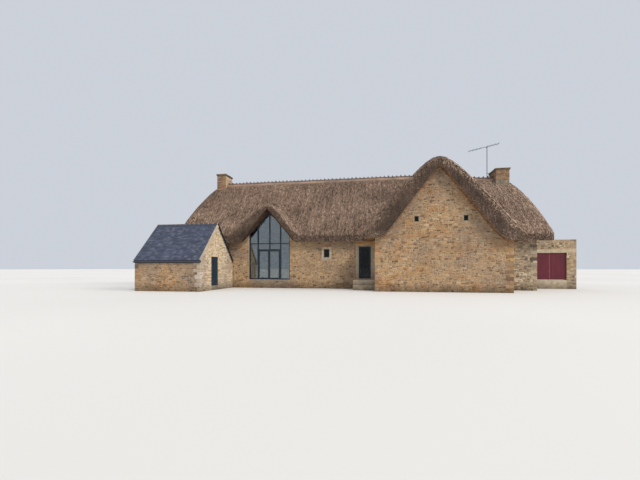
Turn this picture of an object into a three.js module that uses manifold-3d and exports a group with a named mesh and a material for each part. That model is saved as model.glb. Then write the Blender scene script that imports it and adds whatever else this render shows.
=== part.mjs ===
// Long thatched stone cottage with a gabled front wing, a swept-up thatch over a tall glazed screen,
// a low slated outbuilding at the front left and a walled gateway at the right-hand end.
// Units are millimetres. X runs along the front, Y runs away from the front, Z is up.
// The origin lies on the wing's centre line, midway through the wing's gable wall, at the lowest ground.

import * as THREE from "three";
import { mergeVertices } from "three/addons/utils/BufferGeometryUtils.js";
import Module from "manifold-3d";

const wasm = await Module();
wasm.setup();

// Seat between two touching pieces, and the running clearance round a moving leaf
const SEAT = 0.3;
const RUNNING = 10;

// How far a cutting body runs past the faces that it cuts: through a wall or leaf, and past a whole roof
const PAST = 50;
const WELL_PAST = 500;

// Pivot pin under the hinge edge of a leaf: its radius, how far its axis lies inside the leaf's edges,
// how far it runs up into the leaf and the number of its sides
const PIVOT_RADIUS = 7;
const PIVOT_INSET = 8;
const PIVOT_ROOT = 2;
const PIVOT_SIDES = 12;

// Plan of the house
const WALL = 500;
const WING_HALF = 3950;
const WING_FRONT = -250;
const FACADE = 2250;
const BACK = 9950;
const WEST = -18200;
const EAST = 6200;
const RIDGE_Y = 6100;
const FLOOR_TOP = 600;
const SKY = 12000;

// Main thatch: crest heights, rounding of the crest, upright thickness of the coat and of the eave
const CREST_WEST = 8550;
const CREST_EAST = 8160;
const CREST_DIP_FROM = 1200;
const CREST_DIP_TO = 4000;
const MAIN_ROUND = 350;
const THATCH_DEEP = 850;
const EAVE_DEEP = 650;

// Plan outline of the thatch
const THATCH_WEST = -18750;
const THATCH_EAST = 6980;
const THATCH_FRONT = 1750;
const THATCH_BACK = 10450;
const WING_THATCH_WEST = -4580;
const WING_THATCH_EAST = 4470;
const WING_THATCH_FRONT = -750;

// Underside of the eaves, which sinks a little towards the wing's east side and lifts again past it
const EAVE_WEST = 3300;
const EAVE_LOWEST = 3040;
const EAVE_EAST = 3180;
const EAVE_DIP_FROM = -5500;
const EAVE_DIP_TO = 3500;
const EAVE_LIFT_TO = 5000;

// Rounded half-hips: length of an end in plan, how far it lies under the crest at its edge, how fast it
// climbs inwards and the width over which it rounds into the slopes
const HIP_LENGTH = 2000;
const HIP_DROP = 800;
const HIP_CLIMB = 2.6;
const HIP_SOFT = 4500;

// Wing thatch: outer curve and inner line
const WING_CREST = 8110;
const WING_CREST_X = -170;
const WING_FALL = 1.2;
const WING_ROUND = 900;
const WING_INNER_CREST = 7460;
const WING_INNER_FALL = 1.32;
const WING_INNER_ROUND = 150;
const WING_SOFT = 900;

// Swept-up thatch over the glazed screen. Its outer side falls less to the west than to the east, and
// its under face flares up by SWEEP_FLARE from the front wall to the edge of the thatch
const SCREEN_X = -11610;
const SCREEN_HALF = 1555;
const SWEEP_CREST = 6080;
const SWEEP_CREST_X = -11500;
const SWEEP_FALL_WEST = 0.85;
const SWEEP_FALL_EAST = 1.35;
const SWEEP_ROUND = 450;
const SWEEP_RISE = 0.12;
const SWEEP_SOFT = 700;
const SWEEP_INNER_CREST = 5470;
const SWEEP_INNER_FALL = 1.2;
const SWEEP_FLARE = 300;
const SWEEP_EAST_END = -9000;

// The wing's and the sweep's own crests run into the main slope and end before its crest
const BRANCH_END = 5300;
const BRANCH_END_FALL = 1.6;

// Rolled edges of the thatch: how far each edge falls and over what width
const EAVE_ROLL = 200;
const EAVE_ROLL_WIDTH = 500;
const WING_EAVE_ROLL = 300;
const WING_EAVE_ROLL_WIDTH = 800;
const WING_VERGE_ROLL = 250;
const WING_VERGE_ROLL_WIDTH = 500;
const END_VERGE_ROLL = 200;
const END_VERGE_ROLL_WIDTH = 400;

// Distances from an edge and from the sweep's middle at which the thatch changes its slope
const ROLL_STEPS = [0, 60, 160, 310, 520];
const SWEEP_STEPS = [300, 600, 950, 1350, 1800, 2300, 2900, 3600];

// Ridge capping
const CAP_HALF = 420;
const CAP_DEEP = 100;
const CAP_EDGE_DEEP = 60;

// Chimney stacks, each a rectangle in plan from the floor to its top
const STACK_WEST = { x: [-17280, -16510], y: [5450, 6700], top: 9330 };
const STACK_EAST = { x: [4750, 5670], y: [5350, 6850], top: 8700 };
const STACK_CAP_DEEP = 90;
const STACK_CAP_LIP = 60;

// Entrance in the front, just west of the wing: opening, cut stone round it, landing and one step
const ENTRANCE_X = [-5100, -4270];
const ENTRANCE_SILL = 720;
const ENTRANCE_HEAD = 2945;
const ENTRANCE_SIDE = 200;
const SURROUND_PROUD = 15;
const SURROUND_HEAD = 110;
const SILL_NOSE = 100;
const LANDING_X = [-5400, -4000];
const LANDING_REACH = 1150;
const LANDING_TOP = ENTRANCE_SILL - 60;
const STEP_REACH = 1450;
const STEP_TOP = 330;

// Small window in the front
const SMALL_WINDOW = { x: [-7570, -7170], z: [2200, 2780], edge: 150 };

// Two small lights high in the wing's gable
const VENT_Z = [4255, 4585];
const VENT_XS = [-1470, 1360];
const VENT_HALF = 125;
const VENT_EDGE = 110;

// Windows in the back wall
const BACK_WINDOW_XS = [-11600, -400];
const BACK_WINDOW_HALF = 450;
const BACK_WINDOW_Z = [1500, 2600];
const BACK_WINDOW_EDGE = 150;

// Fixed window: how deep its sash is set, the sash's half thickness and its bars' width
const SASH_SET_BACK = 120;
const SASH_HALF = 25;
const SASH_BAR = 45;
const PANE_HALF = 8;

// Glazed screen under the swept thatch, with its doorway, transom and pane
const SCREEN_Y = [FACADE + 100, FACADE + 170];
const BAR = 70;
const DOORWAY_X = [-12465, -10825];
const DOORWAY_HEAD = 2755;
const TRANSOM_Z = 3236;
const SILL_RAIL = 90;
const RAKED_BAR = 110;
const PANE_DEEP = 20;
const PANE_CLEAR = 15;

// Door leaves: thickness, the recess of a pane on each side, the gap at the head and the foot rail's height
// as a share of a stile's width; then the planes and heights of each leaf
const LEAF_DEEP = 50;
const LEAF_RECESS = 15;
const LEAF_HEAD_GAP = 10;
const FOOT_RAIL_SHARE = 1.6;
const SCREEN_LEAF_Y = [FACADE + 105, FACADE + 105 + LEAF_DEEP];
const SCREEN_LEAF_Z = [FLOOR_TOP + 15, DOORWAY_HEAD - LEAF_HEAD_GAP];
const SCREEN_STILE = 80;
const ENTRANCE_LEAF_Y = [FACADE + 100, FACADE + 100 + LEAF_DEEP];
const ENTRANCE_LEAF_Z = [ENTRANCE_SILL + 12, ENTRANCE_HEAD - LEAF_HEAD_GAP];
const ENTRANCE_STILE = 95;

// Outbuilding: plan, roof, floor and the door in its east gable
const SHED_X = [-18880, -14450];
const SHED_Y = [-2400, FACADE - SEAT];
const SHED_WALL = 400;
const SHED_RIDGE_Y = -75;
const SHED_RIDGE_Z = 4440;
const SHED_FALL = 1.05;
const SHED_ROOF_DEEP = 170;
const SHED_EAVE_OVER = 60;
const SHED_VERGE_OVER = 60;
const SHED_RIDGE_HALF = 160;
const SHED_RIDGE_DEEP = 35;
const SHED_FLOOR = 290;
const SHED_DOOR_Y = [-970, -10];
const SHED_DOOR_HEAD = 2190;
const SHED_DOOR_SET_BACK = 40;

// Gateway in the wall at the east end
const GATE_WALL_Y = [4550, 4950];
const GATE_X = [6950, 9050];
const GATE_WALL_EAST = 9650;
const GATE_TOP = 3420;
const GATE_SILL = 620;
const GATE_HEAD = 2510;
const GATE_LINTEL_TOP = 2730;
const GATE_LEAF_Y = [GATE_WALL_Y[0] + 70, GATE_WALL_Y[0] + 130];
const GATE_LEAF_Z = [GATE_SILL + 20, GATE_HEAD - 15];

// Aerial beside the east stack: mast, brackets to the stack, tilted boom and its rods
const MAST_X = 4350;
const MAST_HALF = 20;
const MAST_TOP = 10660;
const MAST_FOOT_GAP = 4;
const BRACKET_ZS = [8400, 8620];
const BRACKET_DEEP = 30;
const BOOM_HALF = 1120;
const BOOM_TILT_DEG = 12;
const BOOM_DEEP = 30;
const BOOM_WEST_OF_MAST = 240;
const BOOM_UNDER_TOP = 50;
const ROD_PLACES = [-1040, -780, -520, -260, 260, 520, 780, 1040];
const ROD_DEEP = 16;
const ROD_SHORT = 520;
const ROD_LONG = 620;

// Smooth curves used for the thatch
function crestCurve(offset, fall, round) {
  return fall * (Math.hypot(offset, round) - round);
}

function softMax(a, b, width) {
  const near = Math.max(width - Math.abs(a - b), 0) / width;
  return Math.max(a, b) + (near * near * width) / 4;
}

function softMin(a, b, width) {
  return -softMax(-a, -b, width);
}

function easeBetween(value, from, to) {
  const t = Math.min(Math.max((value - from) / (to - from), 0), 1);
  return t * t * (3 - 2 * t);
}

function crestHeight(x) {
  return CREST_WEST + (CREST_EAST - CREST_WEST) * easeBetween(x, CREST_DIP_FROM, CREST_DIP_TO);
}

function eaveUnderside(x) {
  const dip = (EAVE_LOWEST - EAVE_WEST) * easeBetween(x, EAVE_DIP_FROM, EAVE_DIP_TO);
  const lift = (EAVE_EAST - EAVE_LOWEST) * easeBetween(x, EAVE_DIP_TO, EAVE_LIFT_TO);
  return EAVE_WEST + dip + lift;
}

function hipHeight(x) {
  const inside = Math.min(x - THATCH_WEST, THATCH_EAST - x);
  return crestHeight(x) - HIP_DROP + HIP_CLIMB * inside;
}

// The main slopes run from the crest to the top of the eave, and the half-hips round off their ends
function mainHeight(x, y) {
  const crest = crestHeight(x);
  const eaveTop = eaveUnderside(x) + EAVE_DEEP;
  const fall = (crest - eaveTop) / crestCurve(RIDGE_Y - THATCH_FRONT, 1, MAIN_ROUND);
  const slope = crest - crestCurve(y - RIDGE_Y, fall, MAIN_ROUND);
  return softMin(slope, hipHeight(x), HIP_SOFT);
}

function branchEnd(y) {
  return BRANCH_END_FALL * Math.max(y - BRANCH_END, 0);
}

function sweepHeight(x, y) {
  const rise = SWEEP_RISE * (y - THATCH_FRONT) - branchEnd(y);
  const fall = x < SWEEP_CREST_X ? SWEEP_FALL_WEST : SWEEP_FALL_EAST;
  return SWEEP_CREST + rise - crestCurve(x - SWEEP_CREST_X, fall, SWEEP_ROUND);
}

function wingHeight(x, y) {
  return WING_CREST - branchEnd(y) - crestCurve(x - WING_CREST_X, WING_FALL, WING_ROUND);
}

// How far the thatch has rolled down at a distance from one edge
function roll(distance, amount, width) {
  const near = Math.max(1 - distance / width, 0);
  return amount * near * near;
}

function rolledDown(x, y) {
  const besideWing = Math.max(WING_THATCH_WEST - x, x - WING_THATCH_EAST, 0);
  const behindFront = Math.max(y - THATCH_FRONT, 0);
  const insideWing = Math.min(x - WING_THATCH_WEST, WING_THATCH_EAST - x);
  const toFrontEave = Math.hypot(y - THATCH_FRONT, Math.max(insideWing, 0));
  const toWingEave = Math.hypot(Math.max(insideWing, 0), behindFront);
  const rolls = [
    roll(toFrontEave, EAVE_ROLL, EAVE_ROLL_WIDTH),
    roll(THATCH_BACK - y, EAVE_ROLL, EAVE_ROLL_WIDTH),
    roll(x - THATCH_WEST, END_VERGE_ROLL, END_VERGE_ROLL_WIDTH),
    roll(THATCH_EAST - x, END_VERGE_ROLL, END_VERGE_ROLL_WIDTH),
  ];
  if (besideWing === 0) {
    rolls.push(roll(toWingEave, WING_EAVE_ROLL, WING_EAVE_ROLL_WIDTH));
    rolls.push(roll(y - WING_THATCH_FRONT, WING_VERGE_ROLL, WING_VERGE_ROLL_WIDTH));
  }
  return Math.max(...rolls);
}

// Outer face of the thatch over the whole plan
function thatchTop(x, y) {
  let height = softMax(mainHeight(x, y), sweepHeight(x, y), SWEEP_SOFT);
  if (x > SWEEP_EAST_END) height = softMax(mainHeight(x, y), wingHeight(x, y), WING_SOFT);
  return height - rolledDown(x, y);
}

// Under face of the thatch over the whole plan
function thatchUnder(x, y) {
  const main = mainHeight(x, y) - THATCH_DEEP;
  const flare = SWEEP_FLARE * (1 - easeBetween(y, THATCH_FRONT, FACADE));
  const sweep = SWEEP_INNER_CREST + flare - SWEEP_INNER_FALL * Math.abs(x - SCREEN_X);
  const wing = WING_INNER_CREST - crestCurve(x - WING_CREST_X, WING_INNER_FALL, WING_INNER_ROUND);
  return Math.max(main, Math.max(sweep, wing) - branchEnd(y), eaveUnderside(x));
}

// Solids
function solidOf(geometry) {
  const bare = geometry.clone();
  bare.deleteAttribute("normal");
  bare.deleteAttribute("uv");
  const merged = mergeVertices(bare, 1e-3);
  return new wasm.Manifold(
    new wasm.Mesh({
      numProp: 3,
      vertProperties: new Float32Array(merged.attributes.position.array),
      triVerts: new Uint32Array(merged.index.array),
    }),
  );
}

function block(x, y, z) {
  const shape = new THREE.BoxGeometry(x[1] - x[0], y[1] - y[0], z[1] - z[0]);
  shape.translate((x[0] + x[1]) / 2, (y[0] + y[1]) / 2, (z[0] + z[1]) / 2);
  return solidOf(shape);
}

function around(range, by) {
  return [range[0] - by, range[1] + by];
}

// Prism of a drawn outline: "x" runs the outline's (Y, Z) points along X, "y" its (X, Z) points along Y
function prism(axis, points, from, to) {
  const outline = new THREE.Shape(points.map(([a, b]) => new THREE.Vector2(a, b)));
  const shape = new THREE.ExtrudeGeometry(outline, { depth: to - from, bevelEnabled: false });
  const turn = new THREE.Matrix4();
  if (axis === "x") turn.set(0, 0, 1, from, 1, 0, 0, 0, 0, 1, 0, 0, 0, 0, 0, 1);
  else turn.set(1, 0, 0, 0, 0, 0, -1, to, 0, 1, 0, 0, 0, 0, 0, 1);
  shape.applyMatrix4(turn);
  return solidOf(shape);
}

// Closed body under a height function, over a rectangle divided at the given lines
function underSurface(height, xs, ys, foot) {
  const across = xs.length;
  const deep = ys.length;
  const points = [];
  const faces = [];
  for (const y of ys) for (const x of xs) points.push(x, y, height(x, y));
  for (const y of ys) for (const x of xs) points.push(x, y, foot);
  const upper = (i, j) => j * across + i;
  const lower = (i, j) => across * deep + j * across + i;
  const quad = (a, b, c, d) => faces.push(a, b, c, a, c, d);
  for (let j = 0; j < deep - 1; j++) {
    for (let i = 0; i < across - 1; i++) {
      quad(upper(i, j), upper(i + 1, j), upper(i + 1, j + 1), upper(i, j + 1));
      quad(lower(i, j), lower(i, j + 1), lower(i + 1, j + 1), lower(i + 1, j));
    }
  }
  for (let i = 0; i < across - 1; i++) {
    quad(lower(i, 0), lower(i + 1, 0), upper(i + 1, 0), upper(i, 0));
    quad(lower(i + 1, deep - 1), lower(i, deep - 1), upper(i, deep - 1), upper(i + 1, deep - 1));
  }
  for (let j = 0; j < deep - 1; j++) {
    quad(lower(0, j + 1), lower(0, j), upper(0, j), upper(0, j + 1));
    quad(lower(across - 1, j), lower(across - 1, j + 1), upper(across - 1, j + 1), upper(across - 1, j));
  }
  const shape = new THREE.BufferGeometry();
  shape.setAttribute("position", new THREE.Float32BufferAttribute(points, 3));
  shape.setIndex(faces);
  return solidOf(shape);
}

const house = new THREE.Group();

function keep(name, solid, colour, roughness, metalness) {
  const got = solid.getMesh();
  const shape = new THREE.BufferGeometry();
  shape.setAttribute("position", new THREE.BufferAttribute(new Float32Array(got.vertProperties), 3));
  shape.setIndex(new THREE.BufferAttribute(new Uint32Array(got.triVerts), 1));
  shape.computeVertexNormals();
  const material = new THREE.MeshStandardMaterial({ color: colour, roughness, metalness });
  const mesh = new THREE.Mesh(shape, material);
  mesh.name = name;
  house.add(mesh);
}

const stone = [0xc4a277, 0.95, 0];
const paleStone = [0xcfc4b0, 0.9, 0];
const thatch = [0x86705c, 1, 0];
const capping = [0xb9896a, 1, 0];
const slate = [0x4b5063, 0.7, 0];
const timber = [0x9a5c33, 0.8, 0];
const darkMetal = [0x14303f, 0.45, 0.2];
const glass = [0x5a7080, 0.1, 0];
const gatePaint = [0x69182f, 0.6, 0];
const doorPaint = [0x1c3a44, 0.6, 0];
const bareMetal = [0x8b8f94, 0.4, 0.9];

// Lines on which the thatch is divided, close together where an edge rolls over
function evenly(from, to, count) {
  return Array.from({ length: count + 1 }, (_, i) => from + ((to - from) * i) / count);
}

function between(lines, from, to) {
  const inside = lines.filter((v) => v > from + 20 && v < to - 20);
  return [from, ...inside.sort((a, b) => a - b), to];
}

const sweepLines = [...SWEEP_STEPS.map((d) => -d).reverse(), 0, ...SWEEP_STEPS];
const frontLines = [
  ...ROLL_STEPS.map((d) => THATCH_WEST + d),
  ...evenly(THATCH_WEST + 800, THATCH_WEST + HIP_LENGTH + 200, 4),
  ...sweepLines.map((d) => SCREEN_X + d),
  ...evenly(SCREEN_X + 4300, WING_THATCH_WEST - 250, 3),
  ...ROLL_STEPS.map((d) => WING_THATCH_WEST + d),
  ...evenly(WING_THATCH_WEST + 850, WING_CREST_X - 1400, 5),
  ...evenly(WING_CREST_X - 1050, WING_CREST_X + 1050, 6),
  ...evenly(WING_CREST_X + 1400, WING_THATCH_EAST - 850, 5),
  ...ROLL_STEPS.map((d) => WING_THATCH_EAST - d),
  ...evenly(THATCH_EAST - HIP_LENGTH - 50, THATCH_EAST - 800, 4),
  ...ROLL_STEPS.map((d) => THATCH_EAST - d),
];
const slopeLines = [
  ...ROLL_STEPS.map((d) => WING_THATCH_FRONT + d),
  ...evenly(WING_THATCH_FRONT + 1000, THATCH_FRONT, 3),
  ...ROLL_STEPS.map((d) => THATCH_FRONT + d),
  ...evenly(THATCH_FRONT + 900, RIDGE_Y - 900, 5),
  RIDGE_Y - 600,
  RIDGE_Y - 350,
  RIDGE_Y - 150,
  RIDGE_Y,
  RIDGE_Y + 150,
  RIDGE_Y + 350,
  RIDGE_Y + 600,
  ...evenly(RIDGE_Y + 900, THATCH_BACK - 900, 3),
  ...ROLL_STEPS.map((d) => THATCH_BACK - d),
];

// One body under the outer face of the thatch, over a rectangle of the plan
function thatchBody(x, y, lift, seat) {
  const xs = between(frontLines, x[0], x[1]);
  const ys = between(slopeLines, y[0], y[1]);
  xs[0] += seat;
  ys[0] += seat;
  xs[xs.length - 1] -= seat;
  ys[ys.length - 1] -= seat;
  return underSurface((a, b) => thatchTop(a, b) + lift, xs, ys, 0);
}

// The space under the thatch, lowered by a seat where walls meet it
const sweepReach = (SWEEP_INNER_CREST - EAVE_WEST) / SWEEP_INNER_FALL;
const flaredReach = sweepReach + SWEEP_FLARE / SWEEP_INNER_FALL;
const underXs = [
  THATCH_WEST - 200,
  ...evenly(THATCH_WEST, THATCH_WEST + HIP_LENGTH, 5),
  SCREEN_X - flaredReach,
  SCREEN_X - sweepReach,
  SCREEN_X,
  SCREEN_X + sweepReach,
  SCREEN_X + flaredReach,
  ...evenly(EAVE_DIP_FROM, WING_CREST_X - 300, 7),
  WING_CREST_X - 120,
  WING_CREST_X,
  WING_CREST_X + 120,
  ...evenly(WING_CREST_X + 300, EAVE_DIP_TO, 6),
  ...evenly(THATCH_EAST - HIP_LENGTH, THATCH_EAST, 5),
  THATCH_EAST + 200,
];
const underYs = [
  WING_THATCH_FRONT - 200,
  THATCH_FRONT,
  THATCH_FRONT + 250,
  FACADE,
  ...evenly(THATCH_FRONT + 900, RIDGE_Y - 650, 4),
  RIDGE_Y - 300,
  RIDGE_Y,
  RIDGE_Y + 300,
  ...evenly(RIDGE_Y + 650, THATCH_BACK - 900, 4),
  THATCH_BACK - 250,
  THATCH_BACK + 200,
];
const underThatch = underSurface(thatchUnder, underXs, underYs, -WELL_PAST);
const roomUnderThatch = underSurface((x, y) => thatchUnder(x, y) - SEAT, underXs, underYs, -WELL_PAST);

const stackHoles = [STACK_WEST, STACK_EAST].map((stack) =>
  block([stack.x[0] - SEAT, stack.x[1] + SEAT], [stack.y[0] - SEAT, stack.y[1] + SEAT], [0, SKY]),
);

function thatchPiece(name, x, y) {
  let piece = thatchBody(x, y, 0, SEAT / 2).subtract(underThatch);
  for (const hole of stackHoles) piece = piece.subtract(hole);
  keep(name, piece, ...thatch);
}

const HIP_WEST_X = STACK_WEST.x[1] + 160;
thatchPiece("thatch_half_hip_west", [THATCH_WEST, HIP_WEST_X], [THATCH_FRONT, THATCH_BACK]);
thatchPiece("thatch_front_slope", [HIP_WEST_X, WING_THATCH_WEST], [THATCH_FRONT, RIDGE_Y]);
thatchPiece("thatch_wing_west_slope", [WING_THATCH_WEST, WING_CREST_X], [WING_THATCH_FRONT, RIDGE_Y]);
thatchPiece("thatch_wing_east_slope", [WING_CREST_X, WING_THATCH_EAST], [WING_THATCH_FRONT, RIDGE_Y]);
thatchPiece("thatch_back_slope", [HIP_WEST_X, WING_THATCH_EAST], [RIDGE_Y, THATCH_BACK]);
thatchPiece("thatch_half_hip_east", [WING_THATCH_EAST, THATCH_EAST], [THATCH_FRONT, THATCH_BACK]);

// Ridge capping between the two stacks
{
  const x = [STACK_WEST.x[1] + SEAT, STACK_EAST.x[0] - SEAT];
  const y = [RIDGE_Y - CAP_HALF, RIDGE_Y + CAP_HALF];
  const xs = between(frontLines, x[0], x[1]);
  const ys = between(slopeLines, y[0], y[1]);
  const depth = (b) => CAP_DEEP - ((CAP_DEEP - CAP_EDGE_DEEP) * Math.abs(b - RIDGE_Y)) / CAP_HALF;
  let cap = underSurface((a, b) => thatchTop(a, b) + depth(b), xs, ys, 6000);
  cap = cap.subtract(thatchBody([THATCH_WEST, HIP_WEST_X], [THATCH_FRONT, THATCH_BACK], SEAT, 0));
  cap = cap.subtract(thatchBody([HIP_WEST_X, WING_THATCH_WEST], [THATCH_FRONT, RIDGE_Y], SEAT, 0));
  cap = cap.subtract(thatchBody([WING_THATCH_WEST, WING_CREST_X], [WING_THATCH_FRONT, RIDGE_Y], SEAT, 0));
  cap = cap.subtract(thatchBody([WING_CREST_X, WING_THATCH_EAST], [WING_THATCH_FRONT, RIDGE_Y], SEAT, 0));
  cap = cap.subtract(thatchBody([HIP_WEST_X, WING_THATCH_EAST], [RIDGE_Y, THATCH_BACK], SEAT, 0));
  cap = cap.subtract(thatchBody([WING_THATCH_EAST, THATCH_EAST], [THATCH_FRONT, THATCH_BACK], SEAT, 0));
  keep("ridge_capping", cap, ...capping);
}

// Chimney stacks with their caps
function chimney(side, stack) {
  const shaft = block(stack.x, stack.y, [FLOOR_TOP + SEAT, stack.top]);
  const cap = block(
    around(stack.x, STACK_CAP_LIP),
    around(stack.y, STACK_CAP_LIP),
    [stack.top, stack.top + STACK_CAP_DEEP],
  );
  keep(`chimney_${side}`, shaft.add(cap), ...stone);
}

chimney("west", STACK_WEST);
chimney("east", STACK_EAST);

// Walls of the house, cut to the underside of the thatch
function wallPiece(name, x, y, holes = [], bottom = 0) {
  let wall = block(x, y, [bottom, SKY]).intersect(roomUnderThatch);
  for (const hole of holes) wall = wall.subtract(hole);
  keep(name, wall, ...stone);
}

function windowHole(x, z, edge, y) {
  return block(around(x, edge + SEAT), y, around(z, edge + SEAT));
}

wallPiece("front_wall_west", [WEST, SCREEN_X - SCREEN_HALF - SEAT], [FACADE, FACADE + WALL]);
wallPiece(
  "front_wall_centre",
  [SCREEN_X + SCREEN_HALF + SEAT, ENTRANCE_X[0] - ENTRANCE_SIDE - SEAT],
  [FACADE, FACADE + WALL],
  [windowHole(SMALL_WINDOW.x, SMALL_WINDOW.z, SMALL_WINDOW.edge, [FACADE - PAST, FACADE + WALL + PAST])],
);
wallPiece("front_wall_east", [WING_HALF + SEAT, EAST], [FACADE, FACADE + WALL]);
wallPiece("end_wall_west", [WEST, WEST + WALL], [FACADE + WALL + SEAT, BACK - WALL - SEAT]);
wallPiece("end_wall_east", [EAST - WALL, EAST], [FACADE + WALL + SEAT, BACK - WALL - SEAT]);

const backWindowX = (centre) => [centre - BACK_WINDOW_HALF, centre + BACK_WINDOW_HALF];
wallPiece(
  "back_wall",
  [WEST, EAST],
  [BACK - WALL, BACK],
  BACK_WINDOW_XS.map((centre) =>
    windowHole(backWindowX(centre), BACK_WINDOW_Z, BACK_WINDOW_EDGE, [BACK - WALL - PAST, BACK + PAST]),
  ),
);

const ventX = (centre) => [centre - VENT_HALF, centre + VENT_HALF];
const wingWallY = [WING_FRONT, WING_FRONT + WALL];
wallPiece(
  "wing_gable_wall",
  [-WING_HALF, WING_HALF],
  wingWallY,
  VENT_XS.map((centre) => windowHole(ventX(centre), VENT_Z, VENT_EDGE, around(wingWallY, PAST))),
);
wallPiece("wing_wall_west", [-WING_HALF, WALL - WING_HALF], [wingWallY[1] + SEAT, FACADE + WALL]);
wallPiece("wing_wall_east", [WING_HALF - WALL, WING_HALF], [wingWallY[1] + SEAT, FACADE + WALL]);

// Ground floor on its fill
{
  const main = block(
    [WEST + WALL + SEAT, EAST - WALL - SEAT],
    [FACADE + WALL + SEAT, BACK - WALL - SEAT],
    [0, FLOOR_TOP],
  );
  const wing = block(
    [WALL - WING_HALF + SEAT, WING_HALF - WALL - SEAT],
    [WING_FRONT + WALL + SEAT, FACADE + WALL + SEAT + 1],
    [0, FLOOR_TOP],
  );
  const threshold = block(
    [SCREEN_X - SCREEN_HALF, SCREEN_X + SCREEN_HALF],
    [FACADE, FACADE + WALL + SEAT + 1],
    [0, FLOOR_TOP],
  );
  keep("ground_floor", main.add(wing).add(threshold), ...paleStone);
}

// Window with a stone surround through the wall, a frame and a pane, all in one body
function windowPiece(name, x, z, edge, wallY, outward) {
  const proud = SURROUND_PROUD;
  const y = outward < 0 ? [wallY[0] - proud, wallY[1]] : [wallY[0], wallY[1] + proud];
  const ring = block(around(x, edge), y, around(z, edge)).subtract(block(x, around(y, PAST), z));
  const middle = outward < 0 ? y[0] + SASH_SET_BACK : y[1] - SASH_SET_BACK;
  const sash = block(around(x, 2), around([middle, middle], SASH_HALF), around(z, 2));
  const lightX = around(x, -SASH_BAR);
  const lightZ = around(z, -SASH_BAR);
  const front = block(lightX, [middle - PAST, middle - PANE_HALF], lightZ);
  const back = block(lightX, [middle + PANE_HALF, middle + PAST], lightZ);
  keep(name, ring.add(sash.subtract(front).subtract(back)), ...paleStone);
}

const frontWallY = [FACADE, FACADE + WALL];
windowPiece("small_window", SMALL_WINDOW.x, SMALL_WINDOW.z, SMALL_WINDOW.edge, frontWallY, -1);
VENT_XS.forEach((centre, i) =>
  windowPiece(
    `gable_light_${i ? "east" : "west"}`,
    ventX(centre),
    VENT_Z,
    VENT_EDGE,
    wingWallY,
    -1,
  ),
);
BACK_WINDOW_XS.forEach((centre, i) =>
  windowPiece(
    `back_window_${i ? "east" : "west"}`,
    backWindowX(centre),
    BACK_WINDOW_Z,
    BACK_WINDOW_EDGE,
    [BACK - WALL, BACK],
    1,
  ),
);

// Glazed screen under the swept thatch
{
  const foot = FLOOR_TOP + SEAT;
  const whole = block([SCREEN_X - SCREEN_HALF, SCREEN_X + SCREEN_HALF], SCREEN_Y, [foot, SKY]).intersect(
    roomUnderThatch,
  );
  const west = SCREEN_X - SCREEN_HALF;
  const east = SCREEN_X + SCREEN_HALF;
  const clear = (x, z) => block(x, around(SCREEN_Y, PAST), z);
  const lowered = underSurface((x, y) => thatchUnder(x, y) - RAKED_BAR, underXs, underYs, -WELL_PAST);
  const openings = [
    clear([west + BAR, DOORWAY_X[0] - BAR], [foot + SILL_RAIL, TRANSOM_Z - BAR / 2]),
    clear([DOORWAY_X[1] + BAR, east - BAR], [foot + SILL_RAIL, TRANSOM_Z - BAR / 2]),
    clear(DOORWAY_X, [0, DOORWAY_HEAD]),
    clear([DOORWAY_X[0], SCREEN_X - BAR / 2], [DOORWAY_HEAD + BAR, TRANSOM_Z - BAR / 2]),
    clear([SCREEN_X + BAR / 2, DOORWAY_X[1]], [DOORWAY_HEAD + BAR, TRANSOM_Z - BAR / 2]),
    clear([west + BAR, DOORWAY_X[0] - BAR], [TRANSOM_Z + BAR / 2, SKY]).intersect(lowered),
    clear([DOORWAY_X[0], SCREEN_X - BAR / 2], [TRANSOM_Z + BAR / 2, SKY]).intersect(lowered),
    clear([SCREEN_X + BAR / 2, DOORWAY_X[1]], [TRANSOM_Z + BAR / 2, SKY]).intersect(lowered),
    clear([DOORWAY_X[1] + BAR, east - BAR], [TRANSOM_Z + BAR / 2, SKY]).intersect(lowered),
  ];
  let frame = whole;
  for (const opening of openings) frame = frame.subtract(opening);
  keep("screen_frame", frame, ...darkMetal);

  const paneY = [SCREEN_Y[1] + SEAT, SCREEN_Y[1] + PANE_DEEP];
  const sheet = block([west, east], paneY, [foot, SKY]).intersect(roomUnderThatch);
  const way = block(around(DOORWAY_X, PANE_CLEAR), around(paneY, PAST), [0, DOORWAY_HEAD + PANE_CLEAR]);
  keep("screen_glass", sheet.subtract(way), ...glass);
}

// Pivot pin under a leaf, standing on the sill below it
function pivotPin(x, y, sill, leafBottom) {
  const height = leafBottom - sill - SEAT + PIVOT_ROOT;
  const pin = new THREE.CylinderGeometry(PIVOT_RADIUS, PIVOT_RADIUS, height, PIVOT_SIDES);
  pin.rotateX(Math.PI / 2);
  pin.translate(x, y, sill + SEAT + height / 2);
  return solidOf(pin);
}

// Glazed leaf: rails and stiles with a thinner pane, in one body.
// "hinge" is -1 where it hangs at its low X edge and 1 where it hangs at the other
function glazedLeaf(name, x, y, z, rail, sill, hinge, paint) {
  const leaf = block(x, y, z);
  const lightX = [x[0] + rail, x[1] - rail];
  const lightZ = [z[0] + rail * FOOT_RAIL_SHARE, z[1] - rail];
  const light = (side) => block(lightX, side, lightZ);
  const front = light([y[0] - PAST, y[0] + LEAF_RECESS]);
  const back = light([y[1] - LEAF_RECESS, y[1] + PAST]);
  const cut = leaf.subtract(front).subtract(back);
  const pinX = hinge < 0 ? x[0] + PIVOT_INSET : x[1] - PIVOT_INSET;
  keep(name, cut.add(pivotPin(pinX, y[1] - PIVOT_INSET, sill, z[0])), ...paint);
}

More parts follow.
